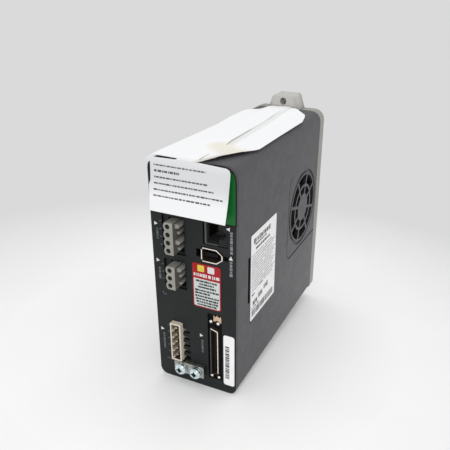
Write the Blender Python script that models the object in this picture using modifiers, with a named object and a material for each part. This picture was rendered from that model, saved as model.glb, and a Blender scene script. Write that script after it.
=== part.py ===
"""Compact book-size servo drive with its two plugs, cooling fan and a protective paper sheet.

The drive hangs on a cabinet's back plate by two tabs of its cast heat sink. Its frame has +X to
the right, +Y towards the back plate and +Z up. The origin lies on the mounting plane, on the
centre line, level with the underside of the body. Sizes are in millimetres.
"""

import math

import bmesh
import bpy
from mathutils import Matrix

MM = 0.001
GAP = 0.3

# Body
WIDTH = 55.0
HEIGHT = 150.0
DEPTH = 154.0
HALF_WIDTH = WIDTH / 2
CORNER_RADIUS = 7.6
LOW_CORNER_RADIUS = 5.2
WALL = 2.2
PLATE_THICKNESS = 8.7
PANEL_THICKNESS = 2.0
FRONT_Y = -DEPTH
PANEL_BACK_Y = FRONT_Y + PANEL_THICKNESS
SHELL_FRONT_Y = PANEL_BACK_Y + GAP
SHELL_BACK_Y = -PLATE_THICKNESS - GAP
INNER_X = HALF_WIDTH - WALL
VENT_COUNT = 12
VENT_PITCH = 8.0
VENT_WIDTH = 3.0
VENT_HALF_LENGTH = 18.0
VENT_FIRST_Y = -126.0

# Heat sink
SINK_CORNER_RADIUS = 7.6
SINK_LOW_CORNER_RADIUS = 3.0
TAB_DEPTH = 16.0
TAB_HEIGHT = 10.5
TAB_HALF_BASE = 11.5
TAB_HALF_TIP = 8.7
TAB_TIP_RADIUS = 2.0
FIXING_RADIUS = 2.6
FIXING_OFFSET = 6.4
FIN_COUNT = 10
FIN_PITCH = 9.5
FIN_THICKNESS = 1.8
FIN_LEFT_X = -23.0
FIN_RIGHT_X = 5.5
FIN_FRONT_Y = -54.0
FIN_FIRST_Z = 46.0
FIXING_SCREW_X = 21.3
FIXING_SCREW_Z = 6.4
BOSS_SIZE = 6.6
BOSS_LENGTH = 12.0

# Operator panel above the connectors
BEZEL_BOTTOM_Z = 117.2
WINDOW_HALF_WIDTH = 19.0
WINDOW_LOW_Z = 133.0
WINDOW_HIGH_Z = 144.5
KEY_NAMES = ("key_mode", "key_up", "key_down", "key_set")
KEY_PITCH = 11.5
KEY_Z = 124.5
KEY_RADIUS = 3.6
KEY_FLANGE_RADIUS = 4.6
KEY_PROUD = 0.6
KEY_TRAVEL = 0.6
HMI_BOARD_Y = -146.0
SWITCH_FRONT_Y = -150.2

# Power terminals in the left column
POLE_PITCH = 5.08
PLUG_FRONT_Y = FRONT_Y - 6.0
PLUG_BACK_Y = -146.0
PLUG_CREST_X = -15.7
PLUG_CLEFT_X = -14.7
PLUG_RIGHT_X = -9.4
WIRE_HOLE_X = -13.0
WIRE_HOLE_RADIUS = 1.5
WIRE_HOLE_DEPTH = 7.0
MAINS_PLUG_Z = 103.7
BRAKE_PLUG_Z = 78.1
RECESS_LEFT_X = -20.2
RECESS_RIGHT_X = -4.9
RECESS_MARGIN_Z = 1.9
HEADER_FRONT_Y = -152.6
HEADER_BACK_Y = -141.0
PIN_X = -11.8
PIN_SIZE = 1.0
PIN_STRIP = 0.9
RIB_RADIUS = 1.35
SMALL_RIB_RADIUS = 0.8
RIB_SETBACK = 2.6
SMALL_RIB_SETBACK = 5.0
RIB_REACH = 2 * RIB_RADIUS

# Motor socket below them
MOTOR_POLES = 5
MOTOR_Z = 29.8
MOTOR_LEFT_X = -17.0
MOTOR_RIGHT_X = -9.5
MOTOR_HALF_HEIGHT = 13.95
MOTOR_FRONT_Y = FRONT_Y - 3.0
MOTOR_WALL = 1.1
MOTOR_FLOOR_Y = -145.6
MOTOR_PIN_TIP_Y = -155.4
MOTOR_PIN_HEIGHT = 0.8
NOTCH_Z = 28.3
NOTCH_HEIGHT = 2.8
NOTCH_RIGHT_X = -4.6

# Protective earth terminal
BRACKET_LEFT_X = -15.0
BRACKET_RIGHT_X = 6.1
BRACKET_LOW_Z = 7.8
BRACKET_HIGH_Z = 15.5
FLANGE_LEFT_X = -8.1
FLANGE_RIGHT_X = 5.1
FLANGE_TOP_Z = 16.0
FLANGE_BACK_Y = -146.0
BRACKET_SHEET = 1.6
BRACKET_FRONT_Y = FRONT_Y - 3.0
EARTH_SCREW_X = -9.6
EARTH_SCREW_PITCH = 10.5
EARTH_SCREW_Z = 11.6

# Signal sockets in the right column
JACK_LEFT_X = 7.6
JACK_RIGHT_X = 21.8
JACK_LOW_Z = 102.7
JACK_HIGH_Z = 116.3
JACK_FRONT_Y = FRONT_Y + 0.4
JACK_BACK_Y = -138.0
JACK_LEFT_MARGIN = 1.0
JACK_MOUTH_LEFT_X = 8.9
JACK_MOUTH_RIGHT_X = 16.4
JACK_MOUTH_LOW_Z = 103.4
JACK_MOUTH_HIGH_Z = 115.7
JACK_MOUTH_DEPTH = 12.0
LATCH_SHOULDER_X = 19.4
LATCH_TIP_X = 21.0
LATCH_Z = 109.85
LATCH_SHOULDER_HALF = 2.95
LATCH_TIP_HALF = 1.55
JACK_CONTACTS = 8
JACK_CONTACT_PITCH = 1.02
JACK_CONTACT_HALF = 0.2
ENCODER_LEFT_X = 5.4
ENCODER_TIP_X = 19.1
ENCODER_LOW_Z = 91.2
ENCODER_HIGH_Z = 100.2
ENCODER_SHOULDER_X = 15.3
ENCODER_TIP_LOW_Z = 94.3
ENCODER_TIP_HIGH_Z = 97.1
ENCODER_CHAMFER = 0.7
ENCODER_FRONT_Y = FRONT_Y - 0.5
ENCODER_BACK_Y = -141.0
ENCODER_SHEET = 0.6
FINGER_RECESS_LEFT_X = 1.9
FINGER_RECESS_RIGHT_X = 22.6
FINGER_RECESS_LOW_Z = 93.4
FINGER_RECESS_HIGH_Z = 98.6
IO_LEFT_X = 8.3
IO_RIGHT_X = 18.0
IO_LOW_Z = 8.2
IO_HIGH_Z = 56.4
IO_SHELL_LEFT_X = 10.2
IO_SHELL_RIGHT_X = 15.6
IO_SHELL_LOW_Z = 11.7
IO_SHELL_HIGH_Z = 46.7
IO_SHELL_SLOPE = 1.6
IO_SHEET = 0.65
IO_SHELL_DEPTH = 5.0
IO_FACE_Y = -152.4
IO_RIVETS = ((10.3, 50.6), (15.1, 50.2), (10.3, 9.8), (15.3, 9.6))
IO_RIVET_RADIUS = 0.75

# Cooling fan behind the right side wall
FAN_Y = -39.2
FAN_Z = 85.8
FAN_SIZE = 59.4
FAN_THICKNESS = 15.0
FAN_INNER_X = 8.5
FAN_OUTER_X = FAN_INNER_X + FAN_THICKNESS
FAN_BORE_RADIUS = 28.5
FAN_HUB_RADIUS = 10.0
FAN_BLADES = 7
FAN_BLADE_TIP = 27.0
FAN_BLADE_CHORD = 11.0
FAN_BLADE_PITCH = math.radians(35)
FAN_HOLE_OFFSET = 25.0
GRILLE_FRONT_Y = -70.5
GRILLE_LOW_Z = 55.0
GRILLE_HIGH_Z = 116.6
GRILLE_OUTER_X = HALF_WIDTH - GAP
GRILLE_THICKNESS = 3.0
GRILLE_DISH_RADIUS = 28.4
GRILLE_DISH_DEPTH = 1.2
GRILLE_RINGS = ((10.3, 15.5), (17.5, 24.5))
GRILLE_SPOKES = 8
GRILLE_SPOKE_HALF = 1.1
GRILLE_SPOKE_START = math.radians(17)

# Circuit boards
BOARD_THICKNESS = 1.6
POWER_BOARD_X = -22.2
POWER_BOARD_LOW = (-137.0, 8.0)
POWER_BOARD_HIGH = (-62.0, 142.0)
CONTROL_BOARD_X = 22.2
CONTROL_BOARD_LOW = (-149.0, 6.0)
CONTROL_BOARD_HIGH = (-73.0, 116.0)
BOARD_SCREW_SPOTS = ((-130.0, 14.0), (-68.0, 136.0))

# Pieces that stand on the power board: their (y, z) corners and how far right they reach
STAND_X = POWER_BOARD_X + BOARD_THICKNESS + GAP
TRANSFORMER = ((-134.0, 92.0), (-112.0, 114.0), 0.0)
RELAY = ((-104.0, 92.0), (-84.0, 107.0), -5.0)
RESISTOR = ((-108.0, 126.0), (-76.0, 138.0), 12.0)
RIBBON = ((-75.0, 28.0), (-74.0, 50.0), CONTROL_BOARD_X - GAP)
CAPACITOR_RADIUS = 12.2
CAPACITOR_HEIGHT = 36.0
CAPACITOR_Y = -112.0
CAPACITOR_LOW_Z = 27.0
CAPACITOR_HIGH_Z = 56.0
CHOKE_RADIUS = 8.5
CHOKE_WIRE_RADIUS = 4.0
CHOKE_Y = -87.0
CHOKE_Z = 74.0
MODULE_LOW = (-22.0, -15.3, 12.0)
MODULE_HIGH = (10.0, SHELL_BACK_Y, 38.0)

# Fan lead and its connector on the control board
CONNECTOR_LOW = (18.0, -82.0, 57.0)
CONNECTOR_HIGH = (CONTROL_BOARD_X - GAP, -76.0, 63.0)
LEAD_RADIUS = 0.8
LEAD_X = 19.8
LEAD_SWAY = 1.0
LEAD_START_Z = 61.0
LEAD_DROP = 1.0
LEAD_END_Y = -74.9

# Labels, as the low and high corners of their outlines
LABEL_THICKNESS = 0.14
LABEL_LEVEL = 0.18
SIDE_LABEL = ((-134.0, 43.0), (-94.0, 102.5))
WARNING_LABEL = ((-0.9, 59.6), (17.7, 89.2))
FRONT_LABEL = ((19.0, 6.4), (26.4, 43.8))

# Paper sheet laid over the top and folded down over the operator panel
PAPER_THICKNESS = 0.8
PAPER_LEFT_X = -24.5
PAPER_RIGHT_X = 25.5
PAPER_BACK_Y = -17.0
PAPER_TOP_Z = HEIGHT + 2.2
PAPER_FLAP_Y = FRONT_Y - 2.8
PAPER_LOW_Z = 118.2

# How the flat outlines are turned: drawn in local XY, raised along local Z
FACING_FRONT = (math.radians(90), 0, 0)
FACING_RIGHT = (math.radians(90), 0, math.radians(90))
FACING_UP = (0, 0, 0)

# How a piece standing on the power board is turned: its own Z axis points to the right
UPRIGHT = (0, math.radians(90), 0)

for old in list(bpy.data.objects):
    bpy.data.objects.remove(old, do_unlink=True)

PART = bpy.data.collections.new("servo_drive")
CUTTERS = bpy.data.collections.new("cutters")
bpy.context.scene.collection.children.link(PART)
bpy.context.scene.collection.children.link(CUTTERS)

BASE = bpy.data.objects.new("servo_drive_frame", None)
PART.objects.link(BASE)


# ---------------------------------------------------------------- helpers

def material(name, colour, roughness, metallic=0.0):
    """A Principled material in one colour, shared by name."""
    found = bpy.data.materials.get(name)
    if found:
        return found
    made = bpy.data.materials.new(name)
    made.use_nodes = True
    made.diffuse_color = (*colour, 1)
    shader = made.node_tree.nodes["Principled BSDF"]
    shader.inputs["Base Color"].default_value = (*colour, 1)
    shader.inputs["Roughness"].default_value = roughness
    shader.inputs["Metallic"].default_value = metallic
    return made


HOUSING_GREY = material("housing_grey", (0.105, 0.105, 0.112), 0.6)
PANEL_GREY = material("panel_grey", (0.040, 0.044, 0.043), 0.55)
BEZEL_GREEN = material("bezel_green", (0.012, 0.150, 0.035), 0.2)
SMOKED_WINDOW = material("smoked_window", (0.02, 0.02, 0.02), 0.1)
CAST_ALUMINIUM = material("cast_aluminium", (0.40, 0.39, 0.35), 0.55, 0.6)
PLUG_GREY = material("plug_grey", (0.34, 0.34, 0.31), 0.5)
SOCKET_BLACK = material("socket_black", (0.02, 0.02, 0.02), 0.5)
SOCKET_CREAM = material("socket_cream", (0.55, 0.50, 0.38), 0.5)
TINNED = material("tinned_metal", (0.62, 0.60, 0.56), 0.3, 1.0)
ZINC = material("blue_zinc", (0.60, 0.68, 0.72), 0.25, 1.0)
BRASS = material("brass", (0.60, 0.47, 0.25), 0.35, 1.0)
GOLD = material("gold_plate", (0.75, 0.56, 0.22), 0.3, 1.0)
BOARD_GREEN = material("board_green", (0.02, 0.11, 0.05), 0.45)
DARK_COMPONENT = material("dark_component", (0.03, 0.03, 0.035), 0.5)
LABEL_WHITE = material("label_white", (0.80, 0.80, 0.80), 0.4)
WARNING_RED = material("warning_red", (0.55, 0.03, 0.03), 0.4)
PAPER_WHITE = material("paper_white", (0.85, 0.85, 0.85), 0.8)
KEY_GREY = material("key_grey", (0.30, 0.31, 0.32), 0.5)
FAN_BLACK = material("fan_black", (0.025, 0.025, 0.027), 0.45)


def place(name, mesh, finish=None, location=(0, 0, 0), rotation=(0, 0, 0)):
    """Link a mesh as a named piece, or as a hidden cutter when it has no material."""
    piece = bpy.data.objects.new(name, mesh)
    piece.location = [value * MM for value in location]
    piece.rotation_euler = rotation
    if finish is None:
        CUTTERS.objects.link(piece)
        piece.hide_render = True
        piece.display_type = "WIRE"
        return piece
    PART.objects.link(piece)
    piece.parent = BASE
    mesh.materials.append(finish)
    return piece


def mesh_from(name, draw):
    """A mesh made by a function that fills a BMesh in millimetres."""
    cage = bmesh.new()
    draw(cage)
    bmesh.ops.scale(cage, vec=(MM, MM, MM), verts=cage.verts)
    mesh = bpy.data.meshes.new(name)
    cage.to_mesh(mesh)
    cage.free()
    return mesh


def add_box(cage, low, high, turn=None):
    """A box between two corners, turned about the axis system's origin if asked."""
    made = bmesh.ops.create_cube(cage, size=1)["verts"]
    size = [b - a for a, b in zip(low, high)]
    middle = [(a + b) / 2 for a, b in zip(low, high)]
    bmesh.ops.scale(cage, vec=size, verts=made)
    bmesh.ops.translate(cage, vec=middle, verts=made)
    if turn is not None:
        bmesh.ops.transform(cage, matrix=turn, verts=made)


def add_cylinder(cage, axis, centre, radius, low, high, segments=16):
    """A cylinder along X, Y or Z between two levels of that axis.

    centre holds the two other coordinates, in X, Y, Z order.
    """
    made = bmesh.ops.create_cone(cage, cap_ends=True, segments=segments, radius1=radius,
                                 radius2=radius, depth=high - low)["verts"]
    middle = (low + high) / 2
    if axis == "X":
        turn = Matrix.Rotation(math.radians(90), 4, "Y")
        spot = (middle, centre[0], centre[1])
    elif axis == "Y":
        turn = Matrix.Rotation(math.radians(90), 4, "X")
        spot = (centre[0], middle, centre[1])
    else:
        turn = Matrix.Identity(4)
        spot = (centre[0], centre[1], middle)
    bmesh.ops.transform(cage, matrix=Matrix.Translation(spot) @ turn, verts=made)


def block(name, low, high, finish):
    """A plain box piece, placed by its centre."""
    middle = [(a + b) / 2 for a, b in zip(low, high)]
    half = [(b - a) / 2 for a, b in zip(low, high)]
    mesh = mesh_from(name, lambda cage: add_box(cage, [-h for h in half], half))
    return place(name, mesh, finish, middle)


def boxes(name, corners, finish=None):
    """One or more boxes in one mesh; a piece made so is joined up by a later step."""
    def draw(cage):
        for low, high in corners:
            add_box(cage, low, high)
    return place(name, mesh_from(name, draw), finish)


def cylinders(name, axis, centres, radius, low, high, finish=None, segments=16):
    """One or more equal cylinders in one mesh."""
    def draw(cage):
        for centre in centres:
            add_cylinder(cage, axis, centre, radius, low, high, segments)
    return place(name, mesh_from(name, draw), finish)


def raised(name, outlines, level, thickness, facing, finish=None):
    """Flat outlines given thickness; an outline inside another is a hole.

    level is the world coordinate of the middle plane, along the direction the outline faces.
    """
    drawing = bpy.data.curves.new(name, "CURVE")
    drawing.dimensions = "2D"
    drawing.fill_mode = "BOTH"
    drawing.extrude = thickness * MM / 2
    for points in outlines:
        spline = drawing.splines.new("POLY")
        spline.points.add(len(points) - 1)
        for corner, (u, v) in zip(spline.points, points):
            corner.co = (u * MM, v * MM, 0, 1)
        spline.use_cyclic_u = True
    sketch = bpy.data.objects.new(name + "_outline", drawing)
    bpy.context.scene.collection.objects.link(sketch)
    evaluated = sketch.evaluated_get(bpy.context.evaluated_depsgraph_get())
    mesh = bpy.data.meshes.new_from_object(evaluated)
    bpy.data.objects.remove(sketch)
    cage = bmesh.new()
    cage.from_mesh(mesh)
    bmesh.ops.remove_doubles(cage, verts=cage.verts, dist=1e-6)
    bmesh.ops.recalc_face_normals(cage, faces=cage.faces)
    cage.to_mesh(mesh)
    cage.free()
    if facing == FACING_FRONT:
        location = (0, level, 0)
    elif facing == FACING_RIGHT:
        location = (level, 0, 0)
    else:
        location = (0, 0, level)
    return place(name, mesh, finish, location, facing)


def combine(piece, tool, operation="DIFFERENCE", crossing=False):
    """Cut a tool from a piece, or join it on with UNION; crossing is for shells that meet."""
    step = piece.modifiers.new(operation.lower(), "BOOLEAN")
    step.operation = operation
    step.solver = "EXACT"
    step.use_self = crossing
    step.object = tool
    return piece


def turned(name, profile, finish, location, rotation, steps=18):
    """A profile of (radius, height) points, top to bottom, turned about its local Z axis."""
    mesh = bpy.data.meshes.new(name)
    points = [(radius * MM, 0, height * MM) for radius, height in profile]
    edges = [(i, i + 1) for i in range(len(points) - 1)]
    mesh.from_pydata(points, edges, [])
    piece = place(name, mesh, finish, location, rotation)
    spin = piece.modifiers.new("turn", "SCREW")
    spin.axis = "Z"
    spin.steps = steps
    spin.render_steps = steps
    spin.use_merge_vertices = True
    spin.merge_threshold = 0.00001
    return piece


def arc(centre, radius, start, end, steps):
    """Points along an arc, both ends included, angles in radians."""
    turns = [start + (end - start) * i / steps for i in range(steps + 1)]
    return [(centre[0] + radius * math.cos(t), centre[1] + radius * math.sin(t)) for t in turns]


def rounded(low, high, radii, steps=5):
    """A rectangle with round corners: radii for low-low, high-low, high-high and low-high."""
    (x0, y0), (x1, y1) = low, high
    corners = ((x0, y0, 1, 1, 180), (x1, y0, -1, 1, 270), (x1, y1, -1, -1, 0), (x0, y1, 1, -1, 90))
    points = []
    for (x, y, sx, sy, start), radius in zip(corners, radii):
        if radius == 0:
            points.append((x, y))
            continue
        begin = math.radians(start)
        centre = (x + sx * radius, y + sy * radius)
        points += arc(centre, radius, begin, begin + math.pi / 2, steps)
    return points


def rectangle(low, high):
    """A rectangle with sharp corners."""
    return rounded(low, high, (0, 0, 0, 0))


def pole_heights(count, middle):
    """The heights of a connector's poles, from the top one down."""
    top = middle + (count - 1) / 2 * POLE_PITCH
    return [top - i * POLE_PITCH for i in range(count)]


# ---------------------------------------------------------------- casing

def tab_outline(base_z, tip_z):
    """The trapezium of a mounting tab between its base and its tip."""
    way = 1 if tip_z > base_z else -1
    centre_z = tip_z - way * TAB_TIP_RADIUS
    side = TAB_HALF_TIP - TAB_TIP_RADIUS
    right = arc((side, centre_z), TAB_TIP_RADIUS, math.radians(10 * way), math.radians(90 * way), 3)
    left = [(-x, z) for x, z in reversed(right)]
    return [(TAB_HALF_BASE, base_z)] + right + left + [(-TAB_HALF_BASE, base_z)]


def make_heatsink():
    """Cast back plate with an upper and a lower tab and fins that reach forward."""
    outline = rounded((-HALF_WIDTH, 0), (HALF_WIDTH, HEIGHT),
                      (SINK_LOW_CORNER_RADIUS,) * 2 + (SINK_CORNER_RADIUS,) * 2)
    sink = raised("heatsink", [outline], -PLATE_THICKNESS / 2, PLATE_THICKNESS, FACING_FRONT,
                  CAST_ALUMINIUM)
    upper = tab_outline(HEIGHT + GAP, HEIGHT + TAB_HEIGHT)
    lower = tab_outline(-GAP, -TAB_HEIGHT)
    tabs = raised("tab_blocks", [upper, lower], -TAB_DEPTH / 2, TAB_DEPTH, FACING_FRONT)
    necks = boxes("tab_necks", [
        ((-TAB_HALF_BASE, -PLATE_THICKNESS, HEIGHT - 4), (TAB_HALF_BASE, 0, HEIGHT + 1)),
        ((-TAB_HALF_BASE, -PLATE_THICKNESS, -1), (TAB_HALF_BASE, 0, 4))])
    levels = [FIN_FIRST_Z + i * FIN_PITCH for i in range(FIN_COUNT)]
    fins = boxes("sink_fins", [((FIN_LEFT_X, FIN_FRONT_Y, z),
                                (FIN_RIGHT_X, 1 - PLATE_THICKNESS, z + FIN_THICKNESS))
                               for z in levels])
    for tool in (necks, tabs, fins):
        combine(sink, tool, "UNION")
    upper_hole = cylinders("upper_fixing_hole", "Y", [(0, HEIGHT + FIXING_OFFSET)], FIXING_RADIUS,
                           -TAB_DEPTH - 1, 1)
    slot_z = -FIXING_OFFSET
    slot = arc((0, slot_z), FIXING_RADIUS, 0, math.pi, 8)
    slot += [(-FIXING_RADIUS, -TAB_HEIGHT - 1), (FIXING_RADIUS, -TAB_HEIGHT - 1)]
    lower_slot = raised("lower_fixing_slot", [slot], -TAB_DEPTH / 2, TAB_DEPTH + 2, FACING_FRONT)
    spots = fixing_screw_spots()
    bores = cylinders("case_screw_bores", "Y", spots, 1.9, -PLATE_THICKNESS - 1, 1, segments=12)
    heads = cylinders("case_screw_seats", "Y", spots, 3.3, -2.4, 1, segments=12)
    for tool in (upper_hole, lower_slot, bores, heads):
        combine(sink, tool)


def fixing_screw_spots():
    """Where the four screws hold the casing to the heat sink, as (x, z)."""
    return [(side * FIXING_SCREW_X, z) for side in (-1, 1)
            for z in (FIXING_SCREW_Z, HEIGHT - FIXING_SCREW_Z)]


def make_housing():
    """Moulded sleeve with vents above and below, a fan cut-out and its screw bosses."""
    outer = rounded((-HALF_WIDTH, 0), (HALF_WIDTH, HEIGHT),
                    (LOW_CORNER_RADIUS,) * 2 + (CORNER_RADIUS,) * 2)
    inner = rounded((-INNER_X, WALL), (INNER_X, HEIGHT - WALL),
                    (LOW_CORNER_RADIUS - WALL,) * 2 + (CORNER_RADIUS - WALL,) * 2)
    housing = raised("housing", [outer, inner], (SHELL_FRONT_Y + SHELL_BACK_Y) / 2,
                     SHELL_BACK_Y - SHELL_FRONT_Y, FACING_FRONT, HOUSING_GREY)

    front = SHELL_BACK_Y - BOSS_LENGTH
    reach = BOSS_SIZE / 2
    bosses = boxes("housing_bosses", [
        ((x - reach if x > 0 else -INNER_X - 1, front, z - reach if z > HEIGHT / 2 else WALL - 1),
         (INNER_X + 1 if x > 0 else x + reach, SHELL_BACK_Y, z + reach if z < HEIGHT / 2
          else HEIGHT - WALL + 1)) for x, z in fixing_screw_spots()])
    within = rounded((-INNER_X - 1, WALL - 1), (INNER_X + 1, HEIGHT - WALL + 1),
                     (LOW_CORNER_RADIUS - WALL + 1,) * 2 + (CORNER_RADIUS - WALL + 1,) * 2)
    core = raised("boss_limits", [within], SHELL_BACK_Y - BOSS_LENGTH / 2, BOSS_LENGTH + 2,
                  FACING_FRONT)
    combine(bosses, core, "INTERSECT")
    combine(housing, bosses, "UNION")
    combine(housing, cylinders("board_bosses", "X", BOARD_SCREW_SPOTS, 3.2, -INNER_X - 1,
                               POWER_BOARD_X - GAP, segments=12), "UNION")
    combine(housing, cylinders("board_pilots", "X", BOARD_SCREW_SPOTS, 1.6, -INNER_X + 0.3,
                               POWER_BOARD_X, segments=8))

    pilots = cylinders("boss_pilots", "Y", fixing_screw_spots(), 1.6, front - 1,
                       SHELL_BACK_Y + 1, segments=8)
    vents = boxes("housing_vents", [
        ((-VENT_HALF_LENGTH, VENT_FIRST_Y + i * VENT_PITCH, -1),
         (VENT_HALF_LENGTH, VENT_FIRST_Y + i * VENT_PITCH + VENT_WIDTH, HEIGHT + 1))
        for i in range(VENT_COUNT)])
    opening = raised("fan_opening", [grille_outline(GAP)], HALF_WIDTH, 4 * WALL, FACING_RIGHT)
    for tool in (pilots, vents, opening):
        combine(housing, tool)


def make_front_panel():
    """Dark front with the openings for every connector, below the operator panel."""
    top = BEZEL_BOTTOM_Z - GAP
    jack_left = JACK_LEFT_X - JACK_LEFT_MARGIN
    jack_right = JACK_RIGHT_X + GAP
    jack_floor = JACK_LOW_Z - GAP
    face = rounded((-HALF_WIDTH, 0), (HALF_WIDTH, top),
                   (LOW_CORNER_RADIUS, LOW_CORNER_RADIUS, 0, 0))[:-2]
    face += [(HALF_WIDTH, top), (jack_right, top), (jack_right, jack_floor),
             (jack_left, jack_floor), (jack_left, top), (-HALF_WIDTH, top)]
    openings = [recess(4, MAINS_PLUG_Z), recess(3, BRAKE_PLUG_Z), motor_opening(),
                bracket_opening(), encoder_opening(),
                rectangle((IO_LEFT_X, IO_LOW_Z), (IO_RIGHT_X, IO_HIGH_Z))]
    raised("front_panel", [face] + openings, FRONT_Y + PANEL_THICKNESS / 2, PANEL_THICKNESS,
           FACING_FRONT, PANEL_GREY)


def recess(count, middle):
    """The opening around a plug with this many poles."""
    half = count * POLE_PITCH / 2 + RECESS_MARGIN_Z
    return rounded((RECESS_LEFT_X, middle - half), (RECESS_RIGHT_X, middle + half), (1,) * 4, 2)


def motor_opening():
    """Opening around the motor socket, with a coding notch beside each pole."""
    left = MOTOR_LEFT_X - GAP
    right = MOTOR_RIGHT_X + GAP
    low = MOTOR_Z - MOTOR_HALF_HEIGHT - GAP
    high = MOTOR_Z + MOTOR_HALF_HEIGHT + GAP
    points = [(left, low), (right, low)]
    for z in reversed(pole_heights(MOTOR_POLES, NOTCH_Z)):
        points += [(right, z - NOTCH_HEIGHT / 2), (NOTCH_RIGHT_X, z - NOTCH_HEIGHT / 2),
                   (NOTCH_RIGHT_X, z + NOTCH_HEIGHT / 2), (right, z + NOTCH_HEIGHT / 2)]
    return points + [(right, high), (left, high)]


def bracket_opening():
    """Opening behind the earth bracket for its screws and its folded flange."""
    left = BRACKET_LEFT_X + 0.6
    low = BRACKET_LOW_Z + 0.8
    flange_left = FLANGE_LEFT_X - GAP
    flange_right = FLANGE_RIGHT_X + GAP
    step_z = FLANGE_TOP_Z - BRACKET_SHEET - GAP
    return [(left, low), (flange_right, low), (flange_right, FLANGE_TOP_Z + GAP),
            (flange_left, FLANGE_TOP_Z + GAP), (flange_left, step_z), (left, step_z)]


def encoder_opening():
    """Opening that follows the encoder socket, with a finger recess at each end."""
    outline = encoder_outline(-GAP - 0.05)
    tip = FINGER_RECESS_RIGHT_X
    far = FINGER_RECESS_LEFT_X
    left = outline[0][0]
    outline[4:4] = [(tip, ENCODER_TIP_LOW_Z), (tip, ENCODER_TIP_HIGH_Z)]
    return outline + [(left, FINGER_RECESS_HIGH_Z), (far, FINGER_RECESS_HIGH_Z),
                      (far, FINGER_RECESS_LOW_Z), (left, FINGER_RECESS_LOW_Z)]


# ---------------------------------------------------------------- operator panel

def make_operator_panel():
    """Green bezel, smoked window, four keys and the board behind them."""
    face = rounded((-HALF_WIDTH, BEZEL_BOTTOM_Z), (HALF_WIDTH, HEIGHT),
                   (0, 0, CORNER_RADIUS, CORNER_RADIUS))
    window = rounded((-WINDOW_HALF_WIDTH, WINDOW_LOW_Z), (WINDOW_HALF_WIDTH, WINDOW_HIGH_Z),
                     (1.5,) * 4, 2)
    spots = [((i - 1.5) * KEY_PITCH, KEY_Z) for i in range(len(KEY_NAMES))]
    holes = [arc(spot, KEY_RADIUS + GAP, 0, 2 * math.pi * 17 / 18, 17) for spot in spots]
    raised("hmi_bezel", [face, window] + holes, FRONT_Y + PANEL_THICKNESS / 2, PANEL_THICKNESS,
           FACING_FRONT, BEZEL_GREEN)

    pane = rounded((-WINDOW_HALF_WIDTH + GAP, WINDOW_LOW_Z + GAP),
                   (WINDOW_HALF_WIDTH - GAP, WINDOW_HIGH_Z - GAP), (1.2,) * 4, 2)
    raised("display_window", [pane], FRONT_Y + 1.0, 1.4, FACING_FRONT, SMOKED_WINDOW)
    block("display_module", (-18, -151.2, 132), (18, HMI_BOARD_Y - GAP, 145.5), DARK_COMPONENT)
    board = block("hmi_board", (-22, HMI_BOARD_Y, 118.5),
                  (22, HMI_BOARD_Y + BOARD_THICKNESS, 145.8), BOARD_GREEN)
    combine(board, boxes("tact_switches", [
        ((x - 3, SWITCH_FRONT_Y, z - 3), (x + 3, HMI_BOARD_Y + 0.5, z + 3)) for x, z in spots]),
            "UNION")

    flange_y = PANEL_BACK_Y + GAP
    face_y = FRONT_Y - KEY_PROUD
    height = flange_y - face_y
    profile = [(0, height), (KEY_RADIUS - 0.5, height), (KEY_RADIUS, height - 0.5),
               (KEY_RADIUS, 0), (KEY_FLANGE_RADIUS, 0), (KEY_FLANGE_RADIUS, -0.8), (0, -0.8)]
    for name, (x, z) in zip(KEY_NAMES, spots):
        turned(name, profile, KEY_GREY, (x, flange_y, z), FACING_FRONT, steps=16)


# ---------------------------------------------------------------- power terminals

def plug_outline(count, middle):
    """A plug's front outline: flat on the right, one swelling for each pole on the left."""
    half = POLE_PITCH / 2
    rise = PLUG_CLEFT_X - PLUG_CREST_X
    radius = (half ** 2 + rise ** 2) / (2 * rise)
    spread = math.asin(half / radius)
    points = [(PLUG_RIGHT_X, middle + count * half)]
    for z in pole_heights(count, middle):
        points += arc((PLUG_CREST_X + radius, z), radius, math.pi - spread, math.pi + spread, 5)[:-1]
    return points + [(PLUG_CLEFT_X, middle - count * half), (PLUG_RIGHT_X, middle - count * half)]


def rib_outline(z, radius):
    """A coding rib's section: flat against the plug and round on its outer side."""
    nose = arc((PLUG_RIGHT_X + radius, z), radius, -math.pi / 2, math.pi / 2, 6)
    root = PLUG_RIGHT_X - 1
    return [(root, z - radius)] + nose + [(root, z + radius)]


def coding_ribs(name, heights, radius, setback):
    """Ribs on a plug's right side, one at each height, that start behind the plug's front."""
    start = PLUG_FRONT_Y + setback
    end = PLUG_BACK_Y - 2
    outlines = [rib_outline(z, radius) for z in heights]
    return raised(name, outlines, (start + end) / 2, end - start, FACING_FRONT)


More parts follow.
